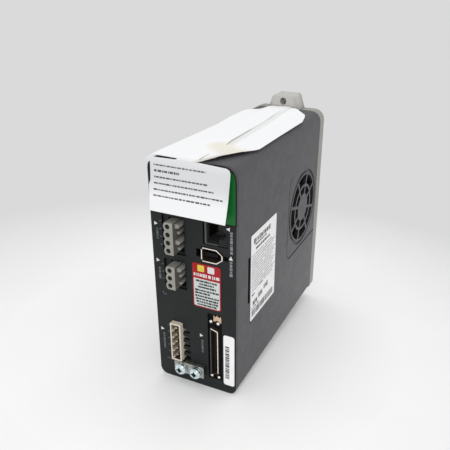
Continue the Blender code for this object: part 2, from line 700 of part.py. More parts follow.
def make_plug(prefix, count, middle, coded):
    """A pluggable terminal block, the header it pushes into and the header's pins.

    coded says which poles have the large coding rib, counted from the top.
    """
    half = count * POLE_PITCH / 2
    heights = pole_heights(count, middle)
    plug = raised(prefix + "_plug", [plug_outline(count, middle)],
                  (PLUG_FRONT_Y + PLUG_BACK_Y) / 2, PLUG_BACK_Y - PLUG_FRONT_Y, FACING_FRONT,
                  PLUG_GREY)
    large = [z for index, z in enumerate(heights) if index in coded]
    small = [z for index, z in enumerate(heights) if index not in coded]
    combine(plug, coding_ribs(prefix + "_ribs", large, RIB_RADIUS, RIB_SETBACK), "UNION")
    combine(plug, coding_ribs(prefix + "_small_ribs", small, SMALL_RIB_RADIUS, SMALL_RIB_SETBACK),
            "UNION")
    combine(plug, cylinders(prefix + "_wire_holes", "Y", [(WIRE_HOLE_X, z) for z in heights],
                            WIRE_HOLE_RADIUS, PLUG_FRONT_Y - 1, PLUG_FRONT_Y + WIRE_HOLE_DEPTH,
                            segments=14))
    reach = PIN_SIZE / 2 + GAP
    combine(plug, boxes(prefix + "_contact_holes", [
        ((PIN_X - reach, PLUG_BACK_Y - 5.6, z - reach), (PIN_X + reach, PLUG_BACK_Y + 1, z + reach))
        for z in heights]))

    wall = RECESS_MARGIN_Z - GAP
    header = block(prefix + "_header",
                   (RECESS_LEFT_X + GAP, HEADER_FRONT_Y, middle - half - wall),
                   (RECESS_RIGHT_X - GAP, HEADER_BACK_Y, middle + half + wall), SOCKET_BLACK)
    combine(header, boxes(prefix + "_pocket", [
        ((PLUG_CREST_X - 0.6, HEADER_FRONT_Y - 1, middle - half - 0.5),
         (PLUG_RIGHT_X + RIB_REACH + GAP, PLUG_BACK_Y + 2 * GAP + PIN_STRIP, middle + half + 0.5))]))
    make_pins(prefix + "_pins", PIN_X, heights, PLUG_BACK_Y - 5, PLUG_BACK_Y + GAP, PIN_SIZE)


def make_pins(name, x, heights, tip_y, strip_y, height):
    """A column of contact pins standing on the strip that holds them."""
    half = PIN_SIZE / 2
    pins = block(name, (x - 1.5, strip_y, heights[-1] - 2), (x + 1.5, strip_y + PIN_STRIP,
                                                            heights[0] + 2), TINNED)
    combine(pins, boxes(name + "_blades", [
        ((x - half, tip_y, z - height / 2), (x + half, strip_y + PIN_STRIP / 2, z + height / 2))
        for z in heights]), "UNION")


def make_motor_socket():
    """Cream five-pole socket for the motor plug, with its pins."""
    low = (MOTOR_LEFT_X, MOTOR_FRONT_Y, MOTOR_Z - MOTOR_HALF_HEIGHT)
    high = (MOTOR_RIGHT_X, HEADER_BACK_Y, MOTOR_Z + MOTOR_HALF_HEIGHT)
    socket = block("motor_socket", low, high, SOCKET_CREAM)
    combine(socket, boxes("motor_socket_pocket", [
        ((low[0] + MOTOR_WALL, low[1] - 1, low[2] + MOTOR_WALL),
         (high[0] - MOTOR_WALL, MOTOR_FLOOR_Y, high[2] - MOTOR_WALL))]))
    middle = (MOTOR_LEFT_X + MOTOR_RIGHT_X) / 2
    make_pins("motor_pins", middle, pole_heights(MOTOR_POLES, MOTOR_Z), MOTOR_PIN_TIP_Y,
              MOTOR_FLOOR_Y - GAP - PIN_STRIP, MOTOR_PIN_HEIGHT)


def make_earth_terminal():
    """Folded bracket with two pan-head screws and their washers."""
    bracket = boxes("ground_bracket", [
        ((BRACKET_LEFT_X, BRACKET_FRONT_Y, BRACKET_LOW_Z),
         (BRACKET_RIGHT_X, BRACKET_FRONT_Y + BRACKET_SHEET, BRACKET_HIGH_Z))], CAST_ALUMINIUM)
    combine(bracket, boxes("bracket_flange", [
        ((FLANGE_LEFT_X, BRACKET_FRONT_Y, FLANGE_TOP_Z - BRACKET_SHEET),
         (FLANGE_RIGHT_X, FLANGE_BACK_Y, FLANGE_TOP_Z))]), "UNION")
    screws = [(EARTH_SCREW_X + i * EARTH_SCREW_PITCH, EARTH_SCREW_Z) for i in range(2)]
    combine(bracket, cylinders("bracket_holes", "Y", screws, 2.3, BRACKET_FRONT_Y - 1,
                               BRACKET_FRONT_Y + BRACKET_SHEET + 1, segments=14))

    washer_back = BRACKET_FRONT_Y - GAP
    washer = [(2.4, 0.8), (4.1, 0.8), (4.1, 0), (2.4, 0), (2.4, 0.8)]
    head_back = washer_back - 0.8 - GAP
    head = [(0, 2.2), (2.0, 2.1), (3.2, 1.6), (3.8, 0.8), (3.8, 0), (1.95, 0), (1.95, -9.5),
            (0, -9.5)]
    for side, (x, z) in zip(("left", "right"), screws):
        turned("ground_washer_" + side, washer, ZINC, (x, washer_back, z), FACING_FRONT)
        screw = turned("ground_screw_" + side, head, ZINC, (x, head_back, z), FACING_FRONT)
        cross = boxes("ground_screw_slot_" + side, [
            ((x - 2.1, head_back - 3, z - 0.4), (x + 2.1, head_back - 0.7, z + 0.4)),
            ((x - 0.4, head_back - 3, z - 2.1), (x + 0.4, head_back - 0.7, z + 2.1))])
        combine(screw, cross, crossing=True)


# ---------------------------------------------------------------- signal sockets

def make_network_jack():
    """Eight-contact modular jack with its latch channel towards the right wall."""
    jack = block("rj45_jack", (JACK_LEFT_X, JACK_FRONT_Y, JACK_LOW_Z),
                 (JACK_RIGHT_X, JACK_BACK_Y, JACK_HIGH_Z), SOCKET_BLACK)
    back = JACK_FRONT_Y + JACK_MOUTH_DEPTH
    steps = [(JACK_MOUTH_RIGHT_X, LATCH_SHOULDER_HALF), (LATCH_SHOULDER_X, LATCH_SHOULDER_HALF),
             (LATCH_SHOULDER_X, LATCH_TIP_HALF), (LATCH_TIP_X, LATCH_TIP_HALF)]
    mouth = [(JACK_MOUTH_LEFT_X, JACK_MOUTH_LOW_Z), (JACK_MOUTH_RIGHT_X, JACK_MOUTH_LOW_Z)]
    mouth += [(x, LATCH_Z - half) for x, half in steps]
    mouth += [(x, LATCH_Z + half) for x, half in reversed(steps)]
    mouth += [(JACK_MOUTH_RIGHT_X, JACK_MOUTH_HIGH_Z), (JACK_MOUTH_LEFT_X, JACK_MOUTH_HIGH_Z)]
    combine(jack, raised("jack_mouth", [mouth], (JACK_FRONT_Y - 1 + back) / 2,
                         back - JACK_FRONT_Y + 1, FACING_FRONT))
    first = LATCH_Z - (JACK_CONTACTS - 1) / 2 * JACK_CONTACT_PITCH
    heights = [first + i * JACK_CONTACT_PITCH for i in range(JACK_CONTACTS)]
    near = JACK_MOUTH_LEFT_X + GAP
    comb = block("rj45_contacts", (near, back - 1.2, heights[0] - 1),
                 (near + 0.9, back - GAP, heights[-1] + 1), GOLD)
    combine(comb, boxes("contact_wires", [
        ((near + 0.1, JACK_FRONT_Y + 1.5, z - JACK_CONTACT_HALF),
         (near + 0.6, back - 0.8, z + JACK_CONTACT_HALF)) for z in heights]), "UNION")


def encoder_outline(inset):
    """The encoder socket's outline, flat on the left and pointed on the right."""
    left = ENCODER_LEFT_X + inset
    low = ENCODER_LOW_Z + inset
    high = ENCODER_HIGH_Z - inset
    tip = ENCODER_TIP_X - inset * 1.2
    shoulder = ENCODER_SHOULDER_X - inset * 0.5
    cut = ENCODER_CHAMFER
    return [(left, low + cut), (left + cut, low), (shoulder, low), (tip, ENCODER_TIP_LOW_Z),
            (tip, ENCODER_TIP_HIGH_Z), (shoulder, high), (left + cut, high), (left, high - cut)]


def make_encoder_socket():
    """Metal shell with a dark insert and its contact tongue."""
    back = ENCODER_BACK_Y
    depth = back - ENCODER_FRONT_Y
    raised("encoder_socket_shell", [encoder_outline(0), encoder_outline(ENCODER_SHEET)],
           (ENCODER_FRONT_Y + back) / 2, depth, FACING_FRONT, TINNED)
    floor_y = FRONT_Y + 5.0
    insert = raised("encoder_socket_insert", [encoder_outline(ENCODER_SHEET + GAP)],
                    (floor_y + back) / 2, back - floor_y, FACING_FRONT, SOCKET_BLACK)
    tongue = boxes("encoder_tongue", [((ENCODER_LEFT_X + 2.2, FRONT_Y + 1.2, ENCODER_TIP_LOW_Z + 0.2),
                                       (ENCODER_SHOULDER_X, floor_y + 1, ENCODER_TIP_HIGH_Z - 0.2))])
    combine(insert, tongue, "UNION")


def io_outline(inset):
    """The signal connector's D outline, shorter on the right."""
    left = IO_SHELL_LEFT_X + inset
    right = IO_SHELL_RIGHT_X - inset
    low = IO_SHELL_LOW_Z + inset
    high = IO_SHELL_HIGH_Z - inset
    slope = IO_SHELL_SLOPE
    return [(left, low), (left + 0.8, low), (right, low + slope), (right, high - slope),
            (left + 0.8, high), (left, high)]


def make_io_connector():
    """Fifty-pole half-pitch connector: body with rivets, metal shell, contact tongue and clip."""
    body = block("io_connector_body", (IO_LEFT_X + GAP, IO_FACE_Y, IO_LOW_Z + GAP),
                 (IO_RIGHT_X - GAP, -141.0, IO_HIGH_Z - GAP), SOCKET_BLACK)
    shell_back = IO_FACE_Y + IO_SHELL_DEPTH
    combine(body, raised("io_shell_seat", [io_outline(-GAP)], (IO_FACE_Y - 1 + shell_back) / 2,
                         shell_back - IO_FACE_Y + 1, FACING_FRONT))
    shell_front = FRONT_Y - 0.8
    raised("io_connector_shell", [io_outline(0), io_outline(IO_SHEET)],
           (shell_front + shell_back - GAP) / 2, shell_back - GAP - shell_front, FACING_FRONT,
           TINNED)
    tongue = (IO_SHELL_LEFT_X + IO_SHELL_RIGHT_X) / 2
    block("io_connector_tongue", (tongue - 0.8, FRONT_Y + 0.6, IO_SHELL_LOW_Z + 3),
          (tongue + 0.8, shell_back - GAP, IO_SHELL_HIGH_Z - 3), SOCKET_BLACK)
    clip = [(12.1, 51.5), (12.3, 55.8), (13.4, 54.4), (14.6, 56.0), (15.8, 54.4), (17.0, 55.9),
            (17.5, 54.2), (17.5, 51.2), (16.5, 50.8), (15.9, 51.9), (14.4, 52.3), (13.2, 51.3)]
    raised("io_latch_clip", [clip], IO_FACE_Y - GAP - 0.5, 1.0, FACING_FRONT, BRASS)
    combine(body, cylinders("io_rivets", "Y", IO_RIVETS, IO_RIVET_RADIUS, IO_FACE_Y - 0.9,
                            IO_FACE_Y + 1, segments=10), "UNION")


# ---------------------------------------------------------------- cooling fan

def grille_outline(clearance):
    """The grille's outline in Y and Z; the housing's cut-out is larger by the clearance."""
    back = SHELL_BACK_Y - 0.1 if clearance == 0 else SHELL_BACK_Y + 2
    return rounded((GRILLE_FRONT_Y - clearance, GRILLE_LOW_Z - clearance),
                   (back, GRILLE_HIGH_Z + clearance), (7, 0, 0, 8), 4)


def ring_sector(inner, outer, start, end, steps=4):
    """An opening between two spokes of constant width, as (y, z) points."""
    far = math.asin(GRILLE_SPOKE_HALF / outer)
    near = math.asin(GRILLE_SPOKE_HALF / inner)
    points = arc((FAN_Y, FAN_Z), outer, start + far, end - far, steps)
    return points + arc((FAN_Y, FAN_Z), inner, end - near, start + near, steps)


def make_fan():
    """Finger guard, fan frame with its spider, rotor, screws and lead."""
    grille = raised("fan_grille", [grille_outline(0)], GRILLE_OUTER_X - GRILLE_THICKNESS / 2,
                    GRILLE_THICKNESS, FACING_RIGHT, HOUSING_GREY)
    combine(grille, cylinders("grille_dish", "X", [(FAN_Y, FAN_Z)], GRILLE_DISH_RADIUS,
                              GRILLE_OUTER_X - GRILLE_DISH_DEPTH, GRILLE_OUTER_X + 1, segments=40))
    step = 2 * math.pi / GRILLE_SPOKES
    starts = [math.pi / 2 - GRILLE_SPOKE_START + i * step for i in range(GRILLE_SPOKES)]
    slots = [ring_sector(inner, outer, start, start + step)
             for inner, outer in GRILLE_RINGS for start in starts]
    combine(grille, raised("grille_slots", slots, GRILLE_OUTER_X - GRILLE_THICKNESS / 2,
                           2 * GRILLE_THICKNESS, FACING_RIGHT))

    half = FAN_SIZE / 2
    frame = raised("fan_frame", [rounded((FAN_Y - half, FAN_Z - half), (FAN_Y + half, FAN_Z + half),
                                         (3,) * 4, 2)],
                   (FAN_INNER_X + FAN_OUTER_X) / 2, FAN_THICKNESS, FACING_RIGHT, FAN_BLACK)
    combine(frame, cylinders("fan_bore", "X", [(FAN_Y, FAN_Z)], FAN_BORE_RADIUS, FAN_INNER_X - 1,
                             FAN_OUTER_X + 1, segments=32))
    seat, struts = fan_spider()
    combine(frame, struts, "UNION")
    combine(frame, seat, "UNION")
    corners = [(FAN_Y + side * FAN_HOLE_OFFSET, FAN_Z + side * FAN_HOLE_OFFSET) for side in (-1, 1)]
    combine(frame, cylinders("fan_screw_holes", "X", corners, 1.9, FAN_INNER_X - 1,
                             FAN_OUTER_X + 1, segments=10))
    for name, corner in zip(("fan_screw_lower", "fan_screw_upper"), corners):
        make_screw(name, "X", corner, 1.5, 2.8, FAN_INNER_X - GAP, FAN_OUTER_X + 0.4, -1)
    make_rotor()
    block("fan_connector", CONNECTOR_LOW, CONNECTOR_HIGH, LABEL_WHITE)
    make_fan_lead()


def make_screw(name, axis, centre, radius, head_radius, under_head, tip, way):
    """A cylinder-head screw; way is the direction from its tip to its head."""
    head_end = under_head + way * 1.9
    shank = sorted((under_head + way, tip))
    head = sorted((under_head, head_end))
    screw = cylinders(name, axis, [centre], radius, shank[0], shank[1], TINNED, segments=10)
    return combine(screw, cylinders(name + "_head", axis, [centre], head_radius, head[0], head[1],
                                    segments=12), "UNION")


def fan_spider():
    """Motor seat and three struts on the fan's inner side."""
    def draw_seat(cage):
        add_cylinder(cage, "X", (0, 0), FAN_HUB_RADIUS + 1, 0, 1.5, 24)

    def draw_struts(cage):
        for i in range(3):
            turn = Matrix.Rotation(math.radians(30 + 120 * i), 4, "X")
            add_box(cage, (0.1, -1.4, 6), (1.4, 1.4, FAN_BORE_RADIUS + 1), turn)
    spot = (FAN_INNER_X, FAN_Y, FAN_Z)
    seat = place("fan_motor_seat", mesh_from("fan_motor_seat", draw_seat), None, spot)
    return seat, place("fan_struts", mesh_from("fan_struts", draw_struts), None, spot)


def make_rotor():
    """Seven-blade rotor, whose origin lies on its spin axis."""
    def draw_hub(cage):
        add_cylinder(cage, "X", (0, 0), FAN_HUB_RADIUS, -5.2, 5.2, 24)

    def draw_blades(cage):
        half = FAN_BLADE_CHORD / 2
        for i in range(FAN_BLADES):
            spin = Matrix.Rotation(2 * math.pi * i / FAN_BLADES, 4, "X")
            pitch = Matrix.Rotation(FAN_BLADE_PITCH, 4, "Z")
            add_box(cage, (-0.6, -half, FAN_HUB_RADIUS - 1.4), (0.6, half, FAN_BLADE_TIP),
                    spin @ pitch)
    middle = (FAN_INNER_X + FAN_OUTER_X) / 2 + 0.6
    place_at = (middle, FAN_Y, FAN_Z)
    rotor = place("fan_rotor", mesh_from("fan_rotor", draw_hub), FAN_BLACK, place_at)
    combine(rotor, place("fan_blades", mesh_from("fan_blades", draw_blades), None, place_at),
            "UNION", crossing=True)


def make_fan_lead():
    """Two-core lead from the fan frame's corner to its connector on the control board."""
    drawing = bpy.data.curves.new("fan_lead", "CURVE")
    drawing.dimensions = "3D"
    drawing.bevel_depth = LEAD_RADIUS * MM
    drawing.bevel_resolution = 2
    drawing.use_fill_caps = True
    steps = 10
    spline = drawing.splines.new("POLY")
    spline.points.add(steps)
    start_y = FAN_Y - FAN_SIZE / 2 - GAP
    for i, point in enumerate(spline.points):
        way = i / steps
        sway = math.sin(math.pi * way)
        point.co = ((LEAD_X - LEAD_SWAY * sway) * MM, (start_y + (LEAD_END_Y - start_y) * way) * MM,
                    (LEAD_START_Z - LEAD_DROP * way) * MM, 1)
    lead = bpy.data.objects.new("fan_lead", drawing)
    PART.objects.link(lead)
    lead.parent = BASE
    drawing.materials.append(DARK_COMPONENT)


# ---------------------------------------------------------------- inside

def standing(name, place_and_reach, finish):
    """A block that stands on the power board."""
    (low_y, low_z), (high_y, high_z), reach_x = place_and_reach
    return block(name, (STAND_X, low_y, low_z), (reach_x, high_y, high_z), finish)


def make_boards():
    """Power board on the left, control board on the right, and what stands on them."""
    power_face_x = POWER_BOARD_X + BOARD_THICKNESS
    power = block("power_board", (POWER_BOARD_X, *POWER_BOARD_LOW),
                  (power_face_x, *POWER_BOARD_HIGH), BOARD_GREEN)
    combine(power, cylinders("board_screw_holes", "X", BOARD_SCREW_SPOTS, 1.8, POWER_BOARD_X - 1,
                             power_face_x + 1, segments=10))
    for name, corner in zip(("board_screw_lower", "board_screw_upper"), BOARD_SCREW_SPOTS):
        make_screw(name, "X", corner, 1.3, 2.7, power_face_x + GAP, POWER_BOARD_X - 1.6, 1)
    block("control_board", (CONTROL_BOARD_X, *CONTROL_BOARD_LOW),
          (CONTROL_BOARD_X + BOARD_THICKNESS, *CONTROL_BOARD_HIGH), BOARD_GREEN)

    radius = CAPACITOR_RADIUS
    rolled = radius - 0.6
    can = [(0, CAPACITOR_HEIGHT), (radius - 0.8, CAPACITOR_HEIGHT), (radius, CAPACITOR_HEIGHT - 0.8),
           (radius, 3.2), (rolled, 2.6), (radius, 2.0), (radius, 0), (0, 0)]
    for name, z in (("capacitor_lower", CAPACITOR_LOW_Z), ("capacitor_upper", CAPACITOR_HIGH_Z)):
        turned(name, can, DARK_COMPONENT, (STAND_X, CAPACITOR_Y, z), UPRIGHT, steps=20)
    standing("transformer", TRANSFORMER, DARK_COMPONENT)
    standing("inrush_relay", RELAY, DARK_COMPONENT)
    standing("braking_resistor", RESISTOR, CAST_ALUMINIUM)
    standing("ribbon_cable", RIBBON, LABEL_WHITE)
    block("power_module", MODULE_LOW, MODULE_HIGH, DARK_COMPONENT)
    make_choke()


def make_choke():
    """Ring-core line choke standing flat against the power board."""
    bpy.ops.mesh.primitive_torus_add(major_segments=18, minor_segments=8,
                                     major_radius=CHOKE_RADIUS * MM,
                                     minor_radius=CHOKE_WIRE_RADIUS * MM)
    ring = bpy.context.object
    ring.name = "line_choke"
    for home in list(ring.users_collection):
        home.objects.unlink(ring)
    PART.objects.link(ring)
    ring.parent = BASE
    ring.location = ((STAND_X + CHOKE_WIRE_RADIUS) * MM, CHOKE_Y * MM, CHOKE_Z * MM)
    ring.rotation_euler = UPRIGHT
    ring.data.materials.append(BRASS)


# ---------------------------------------------------------------- labels, paper, fasteners

def make_labels():
    """Rating label on the side, and the warning and front labels."""
    raised("side_label", [rounded(*SIDE_LABEL, (1,) * 4, 2)], HALF_WIDTH + LABEL_LEVEL,
           LABEL_THICKNESS, FACING_RIGHT, LABEL_WHITE)
    for name, corners, finish in (("warning_label", WARNING_LABEL, WARNING_RED),
                                  ("front_label", FRONT_LABEL, LABEL_WHITE)):
        raised(name, [rounded(*corners, (1.5,) * 4, 2)], FRONT_Y - LABEL_LEVEL, LABEL_THICKNESS,
               FACING_FRONT, finish)


def make_paper():
    """One sheet lying on the top vents, folded down over the operator panel."""
    profile = [(PAPER_BACK_Y, PAPER_TOP_Z), (PAPER_FLAP_Y, PAPER_TOP_Z),
               (PAPER_FLAP_Y, PAPER_LOW_Z), (PAPER_FLAP_Y + PAPER_THICKNESS, PAPER_LOW_Z),
               (PAPER_FLAP_Y + PAPER_THICKNESS, PAPER_TOP_Z - PAPER_THICKNESS),
               (PAPER_BACK_Y, PAPER_TOP_Z - PAPER_THICKNESS)]
    raised("protective_paper", [profile], (PAPER_LEFT_X + PAPER_RIGHT_X) / 2,
           PAPER_RIGHT_X - PAPER_LEFT_X, FACING_RIGHT, PAPER_WHITE)


def make_case_screws():
    """Four screws from the rear of the heat sink into the casing's bosses."""
    names = ("lower_left", "upper_left", "lower_right", "upper_right")
    for name, spot in zip(names, fixing_screw_spots()):
        make_screw("case_screw_" + name, "Y", spot, 1.3, 2.8, -2.1, -18.0, 1)


def smooth_round_pieces():
    """Shade curved surfaces smooth and keep the real edges sharp."""
    for piece in PART.objects:
        if piece.type == "MESH" and len(piece.data.polygons) > 0:
            piece.data.shade_smooth()
            piece.data.set_sharp_from_angle(angle=math.radians(30))


make_heatsink()
make_housing()
make_front_panel()
make_operator_panel()
make_plug("mains", 4, MAINS_PLUG_Z, (0, 2))
make_plug("brake", 3, BRAKE_PLUG_Z, (0,))
make_motor_socket()
make_earth_terminal()
make_network_jack()
make_encoder_socket()
make_io_connector()
make_fan()
make_boards()
make_labels()
make_paper()
make_case_screws()
smooth_round_pieces()
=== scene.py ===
"""Looks of the servo drive: detailed pieces, procedural materials, camera and studio light.

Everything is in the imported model's frame. Sizes below are in millimetres and are turned into
metres where a mesh is made. The drive leans on its lower tab, so the floor is a tilted plane.
"""

import math
import random

import bmesh
import bpy
from mathutils import Matrix, Vector, geometry, noise


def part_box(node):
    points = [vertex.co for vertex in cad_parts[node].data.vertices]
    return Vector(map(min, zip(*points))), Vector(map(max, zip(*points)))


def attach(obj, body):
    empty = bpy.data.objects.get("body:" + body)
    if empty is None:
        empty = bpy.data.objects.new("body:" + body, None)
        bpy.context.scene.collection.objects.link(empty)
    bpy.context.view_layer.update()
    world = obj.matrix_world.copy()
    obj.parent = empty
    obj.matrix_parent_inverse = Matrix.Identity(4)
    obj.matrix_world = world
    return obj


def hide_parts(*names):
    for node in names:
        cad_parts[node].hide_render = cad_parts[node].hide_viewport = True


MM = 0.001

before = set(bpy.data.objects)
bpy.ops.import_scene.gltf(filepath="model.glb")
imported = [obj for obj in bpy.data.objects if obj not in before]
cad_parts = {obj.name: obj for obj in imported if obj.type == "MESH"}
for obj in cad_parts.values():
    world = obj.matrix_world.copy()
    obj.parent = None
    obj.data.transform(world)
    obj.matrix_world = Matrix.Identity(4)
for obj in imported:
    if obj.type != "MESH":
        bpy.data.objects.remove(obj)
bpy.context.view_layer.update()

ROOT = "chassis"
HALF_WIDTH = 27.5
HEIGHT = 150.0
CORNER = 7.6
LOW_CORNER = 5.2
FRONT_Y = -154.0
FAN_CENTRE = Vector((16.6, -39.2, 85.8))

# The floor touches the front panel's lower edge and the lower tab's front edge
FLOOR_FRONT = (-154.0, 0.0)
FLOOR_REAR = (-16.0, -10.5)


# ---- node materials

class Look:
    """A Principled material with its node tree, mapped in the drive's own coordinates."""

    def __init__(self, name, roughness=0.5, metallic=0.0, **sockets):
        self.material = bpy.data.materials.new(name)
        self.material.use_nodes = True
        self.tree = self.material.node_tree
        self.shader = self.tree.nodes["Principled BSDF"]
        self.shader.inputs["Roughness"].default_value = roughness
        self.shader.inputs["Metallic"].default_value = metallic
        for socket, value in sockets.items():
            self.shader.inputs[socket.replace("_", " ")].default_value = value
        self.coords = self.node("ShaderNodeTexCoord").outputs["Object"]

    def node(self, kind, **settings):
        made = self.tree.nodes.new(kind)
        for key, value in settings.items():
            setattr(made, key, value)
        return made

    def link(self, source, target):
        self.tree.links.new(source, target)

    def noise(self, size, detail=3.0, roughness=0.55, stretch=(1, 1, 1)):
        """Cloudy noise whose features are about size millimetres across."""
        scale = self.node("ShaderNodeMapping")
        scale.inputs["Scale"].default_value = stretch
        self.link(self.coords, scale.inputs["Vector"])
        cloud = self.node("ShaderNodeTexNoise")
        cloud.inputs["Scale"].default_value = 1 / (size * MM)
        cloud.inputs["Detail"].default_value = detail
        cloud.inputs["Roughness"].default_value = roughness
        self.link(scale.outputs["Vector"], cloud.inputs["Vector"])
        return cloud.outputs["Fac"]

    def cells(self, size):
        """Voronoi cells about size millimetres across."""
        cloud = self.node("ShaderNodeTexVoronoi")
        cloud.inputs["Scale"].default_value = 1 / (size * MM)
        self.link(self.coords, cloud.inputs["Vector"])
        return cloud.outputs["Distance"]

    def ramp(self, source, stops):
        """Map a value through (position, value or colour) stops."""
        made = self.node("ShaderNodeValToRGB")
        band = made.color_ramp
        while len(band.elements) < len(stops):
            band.elements.new(0.5)
        for element, (position, value) in zip(band.elements, stops):
            element.position = position
            colour = value if hasattr(value, "__len__") else (value,) * 3
            element.color = (*colour, 1)
        self.link(source, made.inputs["Fac"])
        return made.outputs["Color"]

    def feed(self, socket, value):
        """Give a socket an output, a colour or a number."""
        if isinstance(value, bpy.types.NodeSocket):
            self.link(value, socket)
        elif hasattr(value, "__len__"):
            socket.default_value = (*value, 1)
        else:
            socket.default_value = value

    def mix(self, factor, first, second, blend="MIX"):
        """Mix two colours or outputs by a factor that is a number or an output."""
        made = self.node("ShaderNodeMix", data_type="RGBA", blend_type=blend)
        for place, value in ((0, factor), (6, first), (7, second)):
            self.feed(made.inputs[place], value)
        return made.outputs[2]

    def math(self, operation, first, second):
        made = self.node("ShaderNodeMath", operation=operation)
        self.feed(made.inputs[0], first)
        self.feed(made.inputs[1], second)
        return made.outputs[0]

    def colour(self, source):
        self.link(source, self.shader.inputs["Base Color"])

    def rough(self, source, low, high):
        self.link(self.ramp(source, ((0.3, low), (0.7, high))), self.shader.inputs["Roughness"])

    def bump(self, source, depth):
        """Raise the surface by a source, depth in millimetres, and hand over the material."""
        made = self.node("ShaderNodeBump")
        made.inputs["Distance"].default_value = depth * MM
        self.link(source, made.inputs["Height"])
        self.link(made.outputs["Normal"], self.shader.inputs["Normal"])
        return self.material


def scaled(colour, share):
    """A darker or lighter shade of a colour."""
    return tuple(c * share for c in colour)


def moulded(name, colour, low=0.5, high=0.6, grain=0.3, shine=0.2, depth=0.03, cast=0.12,
            bounce_light=None):
    """Moulded plastic with an eroded grain and slight mottling; the optional colour paints a glow
    of bounced light low at the rear.
    """
    look = Look(name, (low + high) / 2, Specular_IOR_Level=shine)
    grain_map = look.noise(grain, 2.0)
    mottle = look.noise(18.0, 3.0)
    base = look.ramp(mottle, ((0.3, scaled(colour, 1 - cast)), (0.7, scaled(colour, 1 + cast))))
    # Painted light: a soft patch low at the rear is paler, where bounced light falls.
    if bounce_light:
        base = look.mix(soft_patch(look, (HALF_WIDTH, -5.0, 25.0), 125.0, 0.1), base, bounce_light)
    specks = look.ramp(look.noise(grain * 1.7, 2.0), ((0.35, 0.86), (0.65, 1.0)))
    look.colour(look.mix(1.0, base, specks, "MULTIPLY"))
    look.rough(look.noise(6.0, 4.0), low, high)
    return look.bump(grain_map, depth)


def gloss(name, colour, roughness=0.12, coat=0.4, ripple=0.01):
    """Polished moulded plastic with a faint ripple and fine handling marks."""
    look = Look(name, roughness, Coat_Weight=coat, Coat_Roughness=0.08, Specular_IOR_Level=0.3)
    shade = look.noise(25.0, 2.0)
    look.colour(look.ramp(shade, ((0.3, scaled(colour, 0.9)), (0.7, colour))))
    look.rough(look.noise(3.0, 5.0, stretch=(1, 1, 3)), roughness * 0.8, roughness * 1.5)
    return look.bump(look.noise(9.0, 1.0), ripple)


def metal(name, colour, low=0.22, high=0.4, brushed=(1, 1, 1), depth=0.01, tarnish=None):
    """Plated or rolled metal with streaks along one axis and some tarnish."""
    look = Look(name, low, 1.0)
    streak = look.noise(0.5, 3.0, stretch=brushed)
    blotch = look.noise(3.5, 4.0)
    dull = tarnish or scaled(colour, 0.72)
    look.colour(look.ramp(blotch, ((0.35, dull), (0.6, colour))))
    look.rough(streak, low, high)
    return look.bump(streak, depth)


def cast_metal(name, colour):
    """Painted die casting: fine pits, a soft sheen, slightly darker hollows and a painted pool of
    light on the upper tab.
    """
    look = Look(name, 0.5)
    pits = look.cells(0.55)
    cloud = look.noise(9.0, 4.0)
    base = look.ramp(cloud, ((0.3, scaled(colour, 0.88)), (0.7, colour)))
    # Painted light: a paler patch over the upper tab's front, where the front light falls.
    tab_painted_light = look.mix(soft_patch(look, (0.0, -10.0, 156.0), 14.0, 0.7), base, (0.50, 0.485, 0.46))
    look.colour(look.mix(0.35, tab_painted_light, look.ramp(pits, ((0.05, 0.6), (0.4, 1.0))), "MULTIPLY"))
    look.rough(look.noise(1.2, 3.0), 0.42, 0.6)
    return look.bump(look.noise(0.8, 4.0, 0.65), 0.09)


def printed_film(name, colour, roughness=0.32, coat=0.2):
    """Label film: smooth, very slightly wavy, with faint print screen texture."""
    look = Look(name, roughness, Coat_Weight=coat, Coat_Roughness=0.25, Specular_IOR_Level=0.3)
    cloud = look.noise(7.0, 3.0)
    look.colour(look.ramp(cloud, ((0.3, scaled(colour, 0.93)), (0.7, colour))))
    look.rough(look.noise(1.5, 3.0), roughness * 0.85, roughness * 1.3)
    return look.bump(look.noise(5.0, 2.0), 0.03)


def ink(name, colour):
    """Screen-printed ink with slightly uneven cover."""
    look = Look(name, 0.55)
    cover = look.noise(0.6, 4.0)
    look.colour(look.ramp(cover, ((0.25, scaled(colour, 0.75)), (0.6, colour))))
    return look.bump(cover, 0.01)


def circuit_board(name):
    """Solder resist over a net of copper tracks."""
    look = Look(name, 0.35, Coat_Weight=0.3, Coat_Roughness=0.2)
    tracks = look.node("ShaderNodeTexBrick", offset=0.37, squash=0.6)
    for socket, value in (("Scale", 260.0), ("Mortar Size", 0.018),
                          ("Color1", (0.010, 0.085, 0.040, 1)),
                          ("Color2", (0.014, 0.100, 0.046, 1)),
                          ("Mortar", (0.050, 0.230, 0.090, 1))):
        tracks.inputs[socket].default_value = value
    turn = look.node("ShaderNodeMapping")
    turn.inputs["Rotation"].default_value = (math.radians(90), 0, math.radians(90))
    look.link(look.coords, turn.inputs["Vector"])
    look.link(turn.outputs["Vector"], tracks.inputs["Vector"])
    pads = look.ramp(look.cells(2.6), ((0.16, (0.55, 0.52, 0.45)), (0.19, (1.0, 1.0, 1.0))))
    look.colour(look.mix(1.0, tracks.outputs["Color"], pads, "MULTIPLY"))
    look.rough(look.noise(2.0, 3.0), 0.28, 0.45)
    return look.bump(tracks.outputs["Fac"], 0.03)


def wound_wire(name):
    """Lacquered copper wire laid side by side."""
    look = Look(name, 0.3, 0.9, Coat_Weight=0.5, Coat_Roughness=0.15)
    waves = look.node("ShaderNodeTexWave", wave_type="RINGS", rings_direction="X")
    waves.inputs["Scale"].default_value = 900.0
    waves.inputs["Distortion"].default_value = 1.5
    look.link(look.coords, waves.inputs["Vector"])
    look.colour(look.ramp(waves.outputs["Fac"], ((0.1, (0.16, 0.05, 0.02)),
                                                 (0.6, (0.62, 0.26, 0.10)))))
    look.rough(look.noise(1.0, 3.0), 0.25, 0.4)
    return look.bump(waves.outputs["Fac"], 0.25)


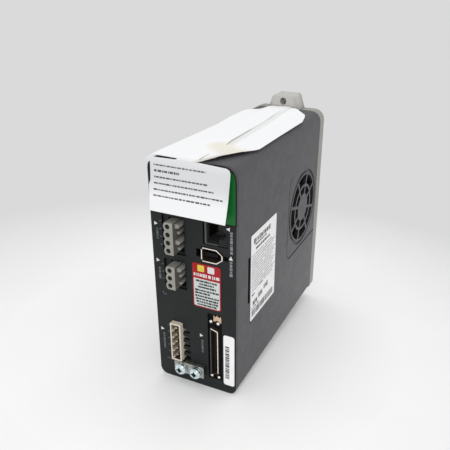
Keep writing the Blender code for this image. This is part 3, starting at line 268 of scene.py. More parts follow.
def paper_look(name):
    """Thin office paper: fibres, cockling, painted shade along the fold lines, over the curled
    corner and across the flap's upper part, and brown specks at the corner.
    """
    look = Look(name, 0.75, Sheen_Weight=0.08)
    fibres = look.noise(0.5, 5.0, 0.7, stretch=(1, 1.8, 1))
    base = look.ramp(fibres, ((0.3, (0.85, 0.855, 0.865)), (0.7, (0.89, 0.895, 0.905))))
    # Painted shade lines and patches, from the table of painted paper shade.
    for start, end, width, soft, strength, tone in PAPER_PAINTED_SHADE:
        line = look.math("MULTIPLY", streak(look, start, end, width, soft), strength)
        base = look.mix(line, base, tone)
    specks = look.ramp(look.noise(1.1, 2.0), ((0.62, 0.0), (0.70, 1.0)))
    where = look.math("MULTIPLY", specks, soft_patch(look, (20.5, -127.5, 151.0), 6.0))
    look.colour(look.mix(where, base, (0.55, 0.33, 0.16)))
    look.rough(fibres, 0.68, 0.82)
    return look.bump(look.noise(4.0, 3.0), 0.06)


def soft_patch(look, centre, radius, solid=0.35):
    """A soft round patch about a point, as a value from 0 to 1; solid is its full part."""
    apart = look.node("ShaderNodeVectorMath", operation="DISTANCE")
    look.link(look.coords, apart.inputs[0])
    apart.inputs[1].default_value = [c * MM for c in centre]
    ratio = look.math("DIVIDE", apart.outputs["Value"], radius * MM)
    return look.ramp(ratio, ((solid, 1.0), (1.0, 0.0)))


def streak(look, start, end, half_width, soft=0.0):
    """A line between two points, as a value from 1 on it to 0 at half_width away."""
    first = Vector(start) * MM
    run = Vector(end) * MM - first
    offset = look.node("ShaderNodeVectorMath", operation="SUBTRACT")
    look.link(look.coords, offset.inputs[0])
    offset.inputs[1].default_value = first
    along = look.node("ShaderNodeVectorMath", operation="DOT_PRODUCT")
    look.link(offset.outputs["Vector"], along.inputs[0])
    along.inputs[1].default_value = run / run.length_squared
    part = look.node("ShaderNodeClamp")
    look.link(along.outputs["Value"], part.inputs["Value"])
    nearest = look.node("ShaderNodeVectorMath", operation="SCALE")
    nearest.inputs[0].default_value = run
    look.link(part.outputs["Result"], nearest.inputs["Scale"])
    apart = look.node("ShaderNodeVectorMath", operation="DISTANCE")
    look.link(offset.outputs["Vector"], apart.inputs[0])
    look.link(nearest.outputs["Vector"], apart.inputs[1])
    ratio = look.math("DIVIDE", apart.outputs["Value"], half_width * MM)
    return look.ramp(ratio, ((soft, 1.0), (1.0, 0.0)))


# Painted shade on the paper, along the folds, over the curled corner and across the flap's upper
# part: start, end, half width, solid share, strength and colour
PAPER_CREASE_SHADE, PAPER_EDGE_SHADE = (0.34, 0.34, 0.31), (0.36, 0.32, 0.22)
PAPER_CURL_SHADE, PAPER_SHADOW = (0.78, 0.75, 0.65), (0.66, 0.67, 0.685)
PAPER_PAINTED_SHADE = (((2.5, -123.0, 151.0), (17.0, -135.5, 151.0), 9.5, 0.45, 0.9, PAPER_CURL_SHADE),
                ((5.5, -153.5, 151.0), (14.5, -143.0, 151.0), 3.4, 0.2, 0.55, PAPER_EDGE_SHADE),
                ((4.2, -17.0, 152.6), (4.9, -119.5, 151.4), 0.9, 0.2, 0.65, PAPER_CREASE_SHADE),
                ((4.5, -85.0, 152.0), (4.9, -119.5, 151.4), 1.0, 0.4, 0.75, PAPER_CREASE_SHADE),
                ((6.2, -17.0, 152.2), (6.8, -117.0, 151.0), 2.6, 0.0, 0.28, PAPER_CREASE_SHADE),
                ((4.6, -151.5, 151.0), (4.0, -139.5, 151.2), 0.8, 0.5, 0.85, PAPER_EDGE_SHADE),
                ((-30.0, -164.0, 142.5), (30.0, -164.0, 142.5), 16.0, 0.5, 0.95, PAPER_SHADOW))

# The casing's colour is paler low at the rear: painted bounced light.
HOUSING = moulded("housing_grey", (0.077, 0.076, 0.082), 0.46, 0.58, 0.45, 0.32, depth=0.035,
                  cast=0.02, bounce_light=(0.112, 0.111, 0.117))
PANEL = moulded("panel_grey", (0.0125, 0.0150, 0.0155), 0.44, 0.56, 0.4, 0.22, cast=0.07)
BEZEL = gloss("bezel_green", (0.004, 0.128, 0.020), 0.2, 0.0)
WINDOW = gloss("smoked_window", (0.012, 0.012, 0.013), 0.06, 0.8, 0.004)
KEYS = moulded("key_grey", (0.26, 0.27, 0.28), 0.4, 0.5, shine=0.5)
DARK = moulded("dark_component", (0.024, 0.024, 0.027), 0.35, 0.5, 0.5, 0.5)
CAST = cast_metal("cast_aluminium", (0.31, 0.30, 0.275))
BRACKET = metal("bracket_plate", (0.50, 0.49, 0.46), 0.32, 0.5, (0.15, 1, 1))
PLUG = moulded("plug_grey", (0.30, 0.295, 0.265), 0.42, 0.55, shine=0.5, depth=0.02)
BLACK = moulded("socket_black", (0.007, 0.007, 0.007), shine=0.12)
# Painted shade: the jack's face is near black so it reads as its mouth, and the mouth's inside is
# dark too.
JACK_PAINTED_SHADE = moulded("jack_grey", (0.013, 0.014, 0.014), 0.45, 0.55)
EDGE = moulded("jack_edge_grey", (0.085, 0.085, 0.088), 0.4, 0.55, shine=0.25)
JACK_MOUTH_SHADE = moulded("jack_mouth_painted_shade", (0.05, 0.05, 0.052))
CREAM = moulded("socket_cream", (0.74, 0.66, 0.55), 0.4, 0.52, 0.4, 0.5, cast=0.04)
# Painted shade inside the motor socket: dark brown in the hollow, a lighter olive on its left wall.
SOCKET_INSIDE_SHADE = moulded("socket_inside_painted_shade", (0.055, 0.035, 0.022), grain=0.4)
SOCKET_WALL_SHADE = moulded("socket_wall_painted_shade", (0.26, 0.235, 0.165), grain=0.4)
# Painted shade: the dark strip at the fan cover's gap and the walls of the guard's slots and bars.
SEAM_AND_SLOT_SHADE = moulded("seam_shadow", (0.018, 0.018, 0.020), grain=0.4, shine=0.15)
# Painted shade on the plugs' right side walls and in their wire entries.
PLUG_SHADE = moulded("plug_side_painted_shade", (0.115, 0.112, 0.100), 0.45, 0.55)
PLUG_HOLE_SHADE = moulded("plug_hole_painted_shade", (0.09, 0.09, 0.07), 0.45, 0.55)
TIN = metal("tinned_metal", (0.78, 0.73, 0.66), 0.24, 0.42)
SHELL = metal("shell_nickel", (0.97, 0.90, 0.82), 0.3, 0.45, tarnish=(0.88, 0.80, 0.70))
# Painted shade on the connector shells' dark faces.
SHELL_PAINTED_SHADE = moulded("shell_shadow", (0.040, 0.030, 0.026), 0.4, 0.55)
# Painted shade in the screws' cross recesses.
SCREW_RECESS_SHADE = moulded("screw_recess_painted_shade", (0.006, 0.030, 0.038), 0.35, 0.5, 0.2, 0.3)
# Painted shade: the jack's gold contacts are darkened to sit in the mouth's shade.
GOLD_IN_SHADE = metal("gold_plate", (0.075, 0.060, 0.035), 0.4, 0.55)
BRASS = metal("brass_clip", (0.66, 0.50, 0.36), 0.25, 0.4)
ZINC = metal("blue_zinc", (0.80, 0.88, 0.93), 0.12, 0.24, tarnish=(0.62, 0.78, 0.78))
FAN = moulded("fan_black", (0.018, 0.018, 0.020), 0.35, 0.48, 0.5, 0.5)
LEAD = moulded("lead_red", (0.33, 0.02, 0.02), 0.4, 0.5, 0.6, 0.5)
WIRE = wound_wire("copper_wire")
BOARD = circuit_board("circuit_board")
LABEL = printed_film("label_white", (0.88, 0.88, 0.89))
NOTICE = printed_film("notice_red", (0.37, 0.008, 0.012), 0.45, 0.0)
FIELD = printed_film("notice_pale", (0.60, 0.64, 0.62), 0.45, 0.0)
FIELD_INK = ink("ink_notice", (0.012, 0.024, 0.022))
YELLOW = ink("ink_yellow", (0.72, 0.60, 0.06))
WHITE_INK = ink("ink_white", (0.72, 0.72, 0.72))
# Grey print, also used for painted highlights beside the connector poles and at the recess corners.
GREY_PRINT_AND_HIGHLIGHT = ink("ink_grey_and_painted_highlight", (0.11, 0.125, 0.135))
PALE_INK = ink("ink_pale", (0.21, 0.22, 0.225))
PAPER_INK = ink("ink_paper", (0.10, 0.10, 0.105))
BLACK_INK = ink("ink_black", (0.035, 0.035, 0.037))
FAINT_INK = ink("ink_faint", (0.40, 0.40, 0.41))
BAR_INK = ink("ink_bar", (0.17, 0.17, 0.175))
PAPER = paper_look("paper_white")


# ---- mesh helpers

def add_object(name, data):
    made = bpy.data.objects.new(name, data)
    bpy.context.scene.collection.objects.link(made)
    return made


def add_piece(name, cage, finishes):
    """A new mesh object from a BMesh, with one material or a list of them."""
    mesh = bpy.data.meshes.new(name)
    cage.to_mesh(mesh)
    cage.free()
    for finish in finishes if isinstance(finishes, (list, tuple)) else [finishes]:
        mesh.materials.append(finish)
    return add_object(name, mesh)


def to_object(name, cage, finishes, body=ROOT, sharp=35):
    """Turn a BMesh in millimetres into a piece that rides on a body."""
    bmesh.ops.scale(cage, vec=(MM, MM, MM), verts=cage.verts)
    piece = add_piece(name, cage, finishes)
    smooth(piece, sharp)
    if body:
        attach(piece, body)
    return piece


def smooth(piece, sharp):
    piece.data.shade_smooth()
    piece.data.set_sharp_from_angle(angle=math.radians(sharp))


def bake(piece):
    """Apply a piece's modifiers to its mesh."""
    evaluated = piece.evaluated_get(bpy.context.evaluated_depsgraph_get())
    mesh = bpy.data.meshes.new_from_object(evaluated)
    piece.modifiers.clear()
    piece.data = mesh
    return piece


def thickened(name, cage, finish, thickness, sharp):
    """An open surface given an even thickness, with no body yet."""
    piece = to_object(name, cage, finish, None, 180)
    thick = piece.modifiers.new("thick", "SOLIDIFY")
    thick.thickness = thickness * MM
    thick.offset = 0
    bake(piece)
    smooth(piece, sharp)
    return piece


def add_box(cage, low, high, turn=None):
    made = bmesh.ops.create_cube(cage, size=1)["verts"]
    bmesh.ops.scale(cage, vec=[b - a for a, b in zip(low, high)], verts=made)
    bmesh.ops.translate(cage, vec=[(a + b) / 2 for a, b in zip(low, high)], verts=made)
    if turn is not None:
        bmesh.ops.transform(cage, matrix=turn, verts=made)


PLANES = {"front": (Vector((1, 0, 0)), Vector((0, 0, 1)), Vector((0, -1, 0))),
          "right": (Vector((0, 1, 0)), Vector((0, 0, 1)), Vector((1, 0, 0))),
          "top": (Vector((1, 0, 0)), Vector((0, 1, 0)), Vector((0, 0, 1)))}


def add_prism(cage, outline, plane, low, high, bevel=0.0, segments=2):
    """An outline given thickness along the plane's normal, with its rims bevelled."""
    across, up, out = PLANES[plane]
    bottom = [cage.verts.new(across * u + up * v + out * low) for u, v in outline]
    top = [cage.verts.new(across * u + up * v + out * high) for u, v in outline]
    count = len(outline)
    faces = [cage.faces.new(top), cage.faces.new(list(reversed(bottom)))]
    rims = [edge for face in faces for edge in face.edges]
    for i in range(count):
        j = (i + 1) % count
        faces.append(cage.faces.new((bottom[i], bottom[j], top[j], top[i])))
    bmesh.ops.recalc_face_normals(cage, faces=faces)
    if bevel:
        bmesh.ops.bevel(cage, geom=rims, offset=bevel, segments=segments, affect="EDGES",
                        profile=0.5, clamp_overlap=True)


def prism(name, outline, plane, low, high, finish, bevel=0.0, segments=2, body=ROOT):
    cage = bmesh.new()
    add_prism(cage, outline, plane, low, high, bevel, segments)
    return to_object(name, cage, finish, body)


def arc(centre, radius, start, end, steps):
    turns = [math.radians(start + (end - start) * i / steps) for i in range(steps + 1)]
    return [(centre[0] + radius * math.cos(t), centre[1] + radius * math.sin(t)) for t in turns]


def rounded(low, high, radius, steps=5):
    """A rectangle with round corners; radius may be four values, from low-low round."""
    (x0, y0), (x1, y1) = low, high
    radii = radius if hasattr(radius, "__len__") else (radius,) * 4
    points = []
    for (x, y, sx, sy, start), r in zip(((x0, y0, 1, 1, 180), (x1, y0, -1, 1, 270),
                                         (x1, y1, -1, -1, 0), (x0, y1, 1, -1, 90)), radii):
        points += arc((x + sx * r, y + sy * r), r, start, start + 90, steps) if r else [(x, y)]
    return points


def refined(node, name, width, finishes, segments=2, body=ROOT, cutters=(), angle=30):
    """A copy of a CAD node with bevelled edges that stands for the node."""
    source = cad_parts[node]
    cage = bmesh.new()
    cage.from_mesh(source.data)
    bmesh.ops.transform(cage, matrix=source.matrix_world, verts=cage.verts)
    bmesh.ops.remove_doubles(cage, verts=cage.verts, dist=1e-6)
    bmesh.ops.dissolve_limit(cage, angle_limit=math.radians(2), verts=cage.verts, edges=cage.edges)
    for face in cage.faces:
        face.material_index = 0
    piece = add_piece(name, cage, finishes)
    for tool in cutters:
        step = piece.modifiers.new("cut", "BOOLEAN")
        step.object = tool
        step.solver = "EXACT"
    soften = piece.modifiers.new("soften", "BEVEL")
    soften.width = width * MM
    soften.segments = segments
    soften.limit_method = "ANGLE"
    soften.angle_limit = math.radians(angle)
    soften.use_clamp_overlap = True
    bake(piece)
    for tool in cutters:
        bpy.data.objects.remove(tool)
    smooth(piece, 40)
    even = piece.modifiers.new("even", "WEIGHTED_NORMAL")
    even.keep_sharp = True
    bake(piece)
    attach(piece, body)
    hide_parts(node)
    return piece


def cutter(draw):
    """A loose mesh for refined() to cut away and delete."""
    cage = bmesh.new()
    draw(cage)
    bmesh.ops.scale(cage, vec=(MM, MM, MM), verts=cage.verts)
    return add_piece("cutter", cage, ())


def dashes(seed, start, end, middle, height, gap=0.35):
    """A line of abstract print: rectangles of uneven length, as (u0, v0, u1, v1)."""
    dice = random.Random(seed)
    marks = []
    at = start
    while at < end - 0.4:
        length = min(dice.uniform(0.5, 2.6), end - at)
        rise = height * dice.uniform(0.75, 1.0)
        marks.append((at, middle - rise / 2, at + length, middle + rise / 2))
        at += length + gap * dice.uniform(0.8, 2.0)
    return marks


def bars(seed, start, end, low, high, widths, gaps):
    """A row of bars of uneven width and gap, as marks."""
    dice = random.Random(seed)
    marks = []
    while start < end:
        width = dice.uniform(*widths)
        marks.append((start, low, start + width, high))
        start += width + dice.uniform(*gaps)
    return marks


def flip(marks):
    """Turn marks drawn along u into marks along v."""
    return [(v0, u0, v1, u1) for u0, v0, u1, v1 in marks]


def print_marks(name, marks, plane, level, finish, thick=0.03):
    """Flat rectangles and outlines of ink on a face, in one mesh."""
    cage = bmesh.new()
    for mark in marks:
        outline = mark if hasattr(mark[0], "__len__") else rounded(mark[:2], mark[2:], 0)
        add_prism(cage, outline, plane, level, level + thick)
    return to_object(name, cage, finish)


# ---- finishes on kept CAD nodes

def dress(finishes):
    for finish, names in finishes:
        for name in names:
            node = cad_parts[name]
            node.data.materials.clear()
            node.data.materials.append(finish)


dress((
    (FAN, ("fan_frame",)),
    (LABEL, ("fan_connector", "ribbon_cable")),
    (LEAD, ("fan_lead",)),
    (BOARD, ("hmi_board", "power_board", "control_board")),
    (DARK, ("display_module", "capacitor_lower", "capacitor_upper", "transformer", "inrush_relay",
            "power_module")),
    (CAST, ("braking_resistor",)),
    (WIRE, ("line_choke",)),
    (WINDOW, ("display_window",)),
    (TIN, ("mains_pins", "brake_pins", "motor_pins")),
    (ZINC, ("case_screw_lower_left", "case_screw_lower_right", "case_screw_upper_left",
            "case_screw_upper_right", "fan_screw_lower", "fan_screw_upper", "board_screw_lower",
            "board_screw_upper")),
    # The jack's contacts are darkened gold: painted shade.
    (GOLD_IN_SHADE, ("rj45_contacts",)),
    (BLACK, ("encoder_socket_insert", "io_connector_tongue")),
    (PANEL, ("mains_header", "brake_header")),
))


# ---- casing

def inside_edge(x, z):
    """How far inside the casing's rounded front outline a point lies."""
    radius = CORNER if z > HEIGHT / 2 else LOW_CORNER
    across = max(abs(x) - HALF_WIDTH + radius, 0)
    upright = max(abs(z - HEIGHT / 2) - HEIGHT / 2 + radius, 0)
    return radius - math.hypot(across, upright)


def from_fan(at):
    """A point's distance from the fan's axis."""
    return math.hypot(at.y - FAN_CENTRE.y, at.z - FAN_CENTRE.z)


def make_casing():
    """Softened casing parts; the front panel's edge takes the side's colour."""
    slot_low, slot_high = (26.4, -137.5, 58.0), (28, -134.8, 89.5)
    hole_low, hole_high = (26.3, -134.2, 41.4), (28, -132.6, 42.7)
    slot = cutter(lambda cage: add_box(cage, slot_low, slot_high))
    hole = cutter(lambda cage: add_box(cage, hole_low, hole_high))
    shell = refined("housing", "housing_shell", 0.22, (HOUSING, BLACK), cutters=(slot, hole))
    # Painted shade: the label slot's faces are black so the shallow slot reads as deep.
    repaint(shell, 1, lambda at, facing: at.x < HALF_WIDTH - 0.3 and all(
        low - 0.1 < place < high + 0.1 for low, place, high in zip(slot_low, at, slot_high)))
    refined("heatsink", "heatsink_casting", 0.9, CAST, segments=3, angle=40)
    guard = refined("fan_grille", "fan_guard", 0.28, (HOUSING, SEAM_AND_SLOT_SHADE))
    slot_reach, slot_top = 24.7, 25.9
    # Painted shade on the side walls of the guard's slots.
    repaint(guard, 1, lambda at, facing: at.x < slot_top and abs(facing.x) < 0.5
            and from_fan(at) < slot_reach)
    make_guard_bars()
    make_cover_seam()
    for node, name, width, finish in (("front_panel", "front_face", 0.3, PANEL),
                                      ("hmi_bezel", "operator_bezel", 0.35, BEZEL)):
        piece = refined(node, name, width, (finish, HOUSING))
        repaint(piece, 1, lambda at, facing: abs(facing.y) < 0.6 and at.y > FRONT_Y + 0.45
                and inside_edge(at.x, at.z) < 0.6)
    make_bezel_rim()
    for name in ("key_mode", "key_up", "key_down", "key_set"):
        refined(name, name + "_cap", 0.15, KEYS, body=name + "_body")


def closed_ring(cage, inner, outer, low, high, steps=64):
    """A flat ring around the fan's axis, between two radii and two x levels."""
    rows = [[cage.verts.new((x, y, z)) for y, z in
             arc((FAN_CENTRE.y, FAN_CENTRE.z), radius, 0, 360, steps)[:-1]]
            for radius, x in ((outer, low), (outer, high), (inner, high), (inner, low))]
    for first, second in zip(rows, rows[1:] + rows[:1]):
        for i in range(steps):
            j = (i + 1) % steps
            cage.faces.new((first[i], first[j], second[j], second[i]))
    bmesh.ops.recalc_face_normals(cage, faces=cage.faces)


def make_guard_bars():
    """The fan guard's hub, rings and spokes, raised flush with its cover inside a sunk ring."""
    low, high, hub_edge, rim = 25.9, 27.15, 9.5, 25.0
    spokes, half_spoke, lead = 8, 1.1, 17
    cage = bmesh.new()
    for inner, outer in ((0.4, 10.3), (15.5, 17.5), (24.5, 26.0)):
        closed_ring(cage, inner, outer, low, high)
    add_prism(cage, arc((FAN_CENTRE.y, FAN_CENTRE.z), 0.5, 0, 345, 23), "right", low, high)
    for i in range(spokes):
        turn = Matrix.Rotation(math.radians(i * 360 / spokes - lead), 4, "X")
        turn = Matrix.Translation((0, FAN_CENTRE.y, FAN_CENTRE.z)) @ turn
        add_box(cage, (low, hub_edge, -half_spoke), (high - 0.1, rim, half_spoke), turn)
    guard = to_object("fan_guard_bars", cage, (HOUSING, SEAM_AND_SLOT_SHADE))
    # Painted shade on the bars' side walls inside the sunk ring.
    repaint(guard, 1, lambda at, facing: abs(facing.x) < 0.5 and from_fan(at) < rim)


def open_ring(name, loops, finish):
    """A piece between loops of points, from the first to the last and back, with closed ends."""
    cage = bmesh.new()
    rows = [[cage.verts.new(point) for point in loop] for loop in loops]
    for first, second in zip(rows, rows[1:] + rows[:1]):
        for i in range(len(first) - 1):
            cage.faces.new((first[i], first[i + 1], second[i + 1], second[i]))
    cage.faces.new([row[0] for row in rows])
    cage.faces.new([row[-1] for row in reversed(rows)])
    bmesh.ops.recalc_face_normals(cage, faces=cage.faces)
    to_object(name, cage, finish)


def make_cover_seam():
    """Painted shadow of the gap around the fan cover: a dark strip level with the casing's side."""
    front, low, back, high = -70.5, 55.0, -9.3, 116.6
    wide, upright_wide = 0.24, 0.42
    sunk, level = HALF_WIDTH - 0.05, HALF_WIDTH + 0.02
    outer = rounded((front - upright_wide, low - wide), (back, high + wide), (7.2, 0, 0, 8.2))
    inner = rounded((front + upright_wide, low + wide), (back, high - wide), (6.8, 0, 0, 7.8))
    lines = []
    for outline, x in ((outer, sunk), (outer, level), (inner, level), (inner, sunk)):
        around = outline[8:] + outline[:7]
        lines.append([(x, y, z) for y, z in around])
    open_ring("fan_cover_seam", lines, SEAM_AND_SLOT_SHADE)


def make_bezel_rim():
    """The casing's dark rim around the green bezel: narrow on the right, and broad on the left,
    where part of its width is painted shade from the paper flap.
    """
    low, left_wide, right_wide, top_wide = 117.2, 2.3, 0.7, 1.5
    back, front = FRONT_Y + 0.8, FRONT_Y - 0.04
    outer = rounded((-HALF_WIDTH, low), (HALF_WIDTH, HEIGHT + 0.02), (0, 0, CORNER, CORNER))
    inner = rounded((-HALF_WIDTH + left_wide, low), (HALF_WIDTH - right_wide, HEIGHT - top_wide),
                    (0, 0, 6.0, 6.6))
    lines = []
    for outline, y in ((outer, back), (outer, front), (inner, front), (inner, back)):
        lines.append([(x, y, z) for x, z in outline[1:] + outline[:1]])
    open_ring("bezel_rim", lines, PANEL)


# ---- connectors

POLE_PITCH = 5.08


def spread(count, middle):
    """Places of a connector's poles about their middle."""
    return [middle + (i - (count - 1) / 2) * POLE_PITCH for i in range(count)]


def box_mm(node):
    """A CAD node's corners in millimetres."""
    return [Vector(corner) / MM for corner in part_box(node)]


def repaint(piece, slot, test):
    """Give faces another material slot by a test of centre, in millimetres, and normal."""
    for face in piece.data.polygons:
        if test(face.center / MM, face.normal):
            face.material_index = slot


def make_plugs():
    """Terminal blocks with painted shade in their wire entries and on their right side walls."""
    hole_x, hole_radius, side_x = -13.0, 1.6, -9.4
    for prefix, count in (("mains", 4), ("brake", 3)):
        body = prefix + "_plug_body"
        plug = refined(prefix + "_plug", prefix + "_terminal_block", 0.28,
                       (PLUG, PLUG_HOLE_SHADE, PLUG_SHADE), body=body, angle=50)
        low, high = box_mm(prefix + "_plug")
        heights = spread(count, (low.z + high.z) / 2)
        # Painted shade: the right side wall and the insides of the wire entries are darker greys.
        repaint(plug, 2, lambda at, facing: facing.x > 0.7 and abs(at.x - side_x) < 0.25)
        repaint(plug, 1, lambda at, facing: at.y > low.y + 0.6 and any(
            math.hypot(at.x - hole_x, at.z - z) < hole_radius for z in heights))
        cage = bmesh.new()
        front, back, rise, half = low.y + 0.7, low.y + 11, 0.22, 0.2
        for x in (-14.0, -12.6, -11.2):
            add_box(cage, (x - half, front, high.z - 0.1), (x + half, back, high.z + rise))
        to_object(prefix + "_plug_ridges", cage, PLUG, body)


def make_motor_socket():
    """The cream motor socket with painted shade in its hollow, lighter on the hollow's left wall,
    and a coding key beside each pole.
    """
    low, high = box_mm("motor_socket")
    wall, floor_y = 1.1, -145.6
    socket = refined("motor_socket", "motor_socket_body", 0.4, (CREAM, SOCKET_INSIDE_SHADE, SOCKET_WALL_SHADE))
    # Painted shade: the hollow's faces are dark brown and its left wall a lighter olive.
    repaint(socket, 1, lambda at, facing: at.y > low.y + 0.5
            and low.x + wall - 0.1 < at.x < high.x - wall + 0.1
            and low.z + wall - 0.1 < at.z < high.z - wall + 0.1)
    repaint(socket, 2, lambda at, facing: facing.x > 0.7 and abs(at.x - low.x - wall) < 0.2)
    cage = bmesh.new()
    left, key_reach, key_low, key_high = low.x + wall, 0.9, -2.4, -1.5
    for z in spread(5, (low.z + high.z) / 2):
        add_box(cage, (left - 0.1, low.y + 0.5, z + key_low),
                (left + key_reach, floor_y - 0.1, z + key_high))
    to_object("motor_socket_keys", cage, CREAM)


def make_signal_sockets():
    """Network jack, encoder socket with a gap at two corners, and the signal connector."""
    # Painted shade: the jack's face is near black so it reads as its mouth, and its inside faces
    # are dark.
    jack = refined("rj45_jack", "network_jack", 0.15, (JACK_PAINTED_SHADE, JACK_MOUTH_SHADE))
    repaint(jack, 1, lambda at, facing: at.y > FRONT_Y + 1.1)
    make_jack_edge()
    low, high = box_mm("encoder_socket_shell")
    reach, depth, height = 0.85, 1.5, 1.45
    gaps = [cutter(lambda cage, z=z: add_box(cage, (low.x - 0.3, low.y - 0.5, z),
                                             (low.x + reach, low.y + depth, z + height)))
            for z in (low.z - 0.2, high.z - 1.25)]
    shell = refined("encoder_socket_shell", "encoder_shell", 0.12, (SHELL, SHELL_PAINTED_SHADE), cutters=gaps)
    # Painted shade on the encoder shell's inside faces.
    repaint(shell, 1, lambda at, facing: at.y > low.y + 0.6)
    refined("io_connector_body", "io_body", 0.15, BLACK)
    # Painted shade: the signal connector's metal shell is dark, with a painted highlight along its
    # edge added below.
    refined("io_connector_shell", "io_shell", 0.12, SHELL_PAINTED_SHADE)
    make_shell_edge()
    refined("io_latch_clip", "io_clip", 0.12, BRASS)
    cage = bmesh.new()
    radius, flatness, rivet_y = 1.1, 0.6, FRONT_Y + 0.6
    for x, z in ((10.3, 50.6), (15.1, 50.2), (10.3, 9.8), (15.3, 9.6)):
        made = bmesh.ops.create_uvsphere(cage, u_segments=16, v_segments=8, radius=radius)["verts"]
        bmesh.ops.scale(cage, vec=(1, flatness, 1), verts=made)
        bmesh.ops.translate(cage, vec=(x, rivet_y, z), verts=made)
    to_object("io_rivet_heads", cage, SHELL)


def make_shell_edge():
    """Painted highlight along the top and right edges of the signal connector's shell, and painted
    shade on its left edge.
    """
    low, high = box_mm("io_connector_shell")
    wall, slope, left, top = 0.6, 1.6, low.x + 0.5, high.z - 0.15
    outline = [(left, top - wall), (high.x - wall, high.z - slope - wall),
               (high.x - wall, low.z + slope + 0.4), (high.x, low.z + slope + 0.2),
               (high.x, high.z - slope), (left, top)]
    prism("io_shell_edge", outline, "front", -low.y - 0.1, -low.y + 0.05, SHELL, 0.04, 1)
    outline = rounded((low.x, low.z + 0.8), (left, high.z - 1.0), 0)
    # Painted shade on the shell's left edge.
    prism("io_shell_side", outline, "front", -low.y - 0.1, -low.y + 0.04, EDGE, 0.04, 1)


def make_jack_edge():
    """The jack's pale shield edge along the left and the bottom of its mouth."""
    low, high = box_mm("rj45_jack")
    side, sill, reach = 1.1, 0.65, 8.4
    outline = [(low.x, low.z), (low.x + reach, low.z), (low.x + reach, low.z + sill),
               (low.x + side, low.z + sill), (low.x + side, high.z - 0.1), (low.x, high.z - 0.1)]
    prism("jack_shield_edge", outline, "front", -low.y - 0.1, -low.y + 0.12, EDGE, 0.05, 1)


def dimple(x, y, z):
    """A loose cone that opens a screw's recess at its middle."""
    turn = Matrix.Translation((x, y + 0.5, z)) @ Matrix.Rotation(math.radians(90), 4, "X")
    return cutter(lambda cage: bmesh.ops.create_cone(cage, cap_ends=True, segments=20, depth=1.6,
                                                     radius1=0.3, radius2=1.75, matrix=turn))


def make_earth():
    """Earth bracket, washers and screws, with painted shade in the cross recesses."""
    refined("ground_bracket", "earth_bracket", 0.3, BRACKET)
    for side in ("left", "right"):
        refined("ground_washer_" + side, "earth_washer_" + side, 0.12, ZINC)
        low, high = box_mm("ground_screw_" + side)
        x, z = (low.x + high.x) / 2, (low.z + high.z) / 2
        screw = refined("ground_screw_" + side, "earth_screw_" + side, 0.12, (ZINC, SCREW_RECESS_SHADE),
                        cutters=(dimple(x, low.y, z),))
        # Painted shade on the faces inside the cross recess.
        repaint(screw, 1, lambda at, facing: low.y + 0.15 < at.y < low.y + 1.7
                and math.hypot(at.x - x, at.z - z) < 2.15)


def make_rotor():
    """Fan rotor with a domed hub and seven twisted blades."""
    cage = bmesh.new()
    hub_profile = [(0, 5.0), (7.5, 5.0), (9.3, 4.4), (10, 3.2), (10, -5.0), (0, -5.0)]
    steps, blades, cells = 32, 7, 6
    root, length, sweep, camber = 9.6, 17.2, 0.28, 2.16

    def spot(x, radius, angle):
        return cage.verts.new((x, radius * math.cos(angle), radius * math.sin(angle)))

    rings = [[spot(x, radius, 2 * math.pi * i / steps) for i in range(steps if radius else 1)]
             for radius, x in hub_profile]
    for first, second in zip(rings, rings[1:]):
        for i in range(steps):
            j = (i + 1) % steps
            corners = [first[i % len(first)], first[j % len(first)], second[j % len(second)],
                       second[i % len(second)]]
            cage.faces.new(list(dict.fromkeys(corners)))
    for blade in range(blades):
        start = 2 * math.pi * blade / blades
        grid = []
        for way in (i / cells for i in range(cells + 1)):
            row = []
            for along in (j / cells - 0.5 for j in range(cells + 1)):
                angle = start + sweep * way + along * (0.62 + 0.1 * way)
                x = along * (8.0 - 2.2 * way) + camber * (0.25 - along * along)
                row.append(spot(x, root + length * way, angle))
            grid.append(row)
        for i in range(cells):
            for j in range(cells):
                cage.faces.new((grid[i][j], grid[i + 1][j], grid[i + 1][j + 1], grid[i][j + 1]))
    bmesh.ops.recalc_face_normals(cage, faces=cage.faces)
    bmesh.ops.translate(cage, vec=FAN_CENTRE, verts=cage.verts)
    rotor = thickened("fan_impeller", cage, FAN, 0.9, 50)
    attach(rotor, "fan_rotor_body")
    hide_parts("fan_rotor")


# ---- printed marks and labels

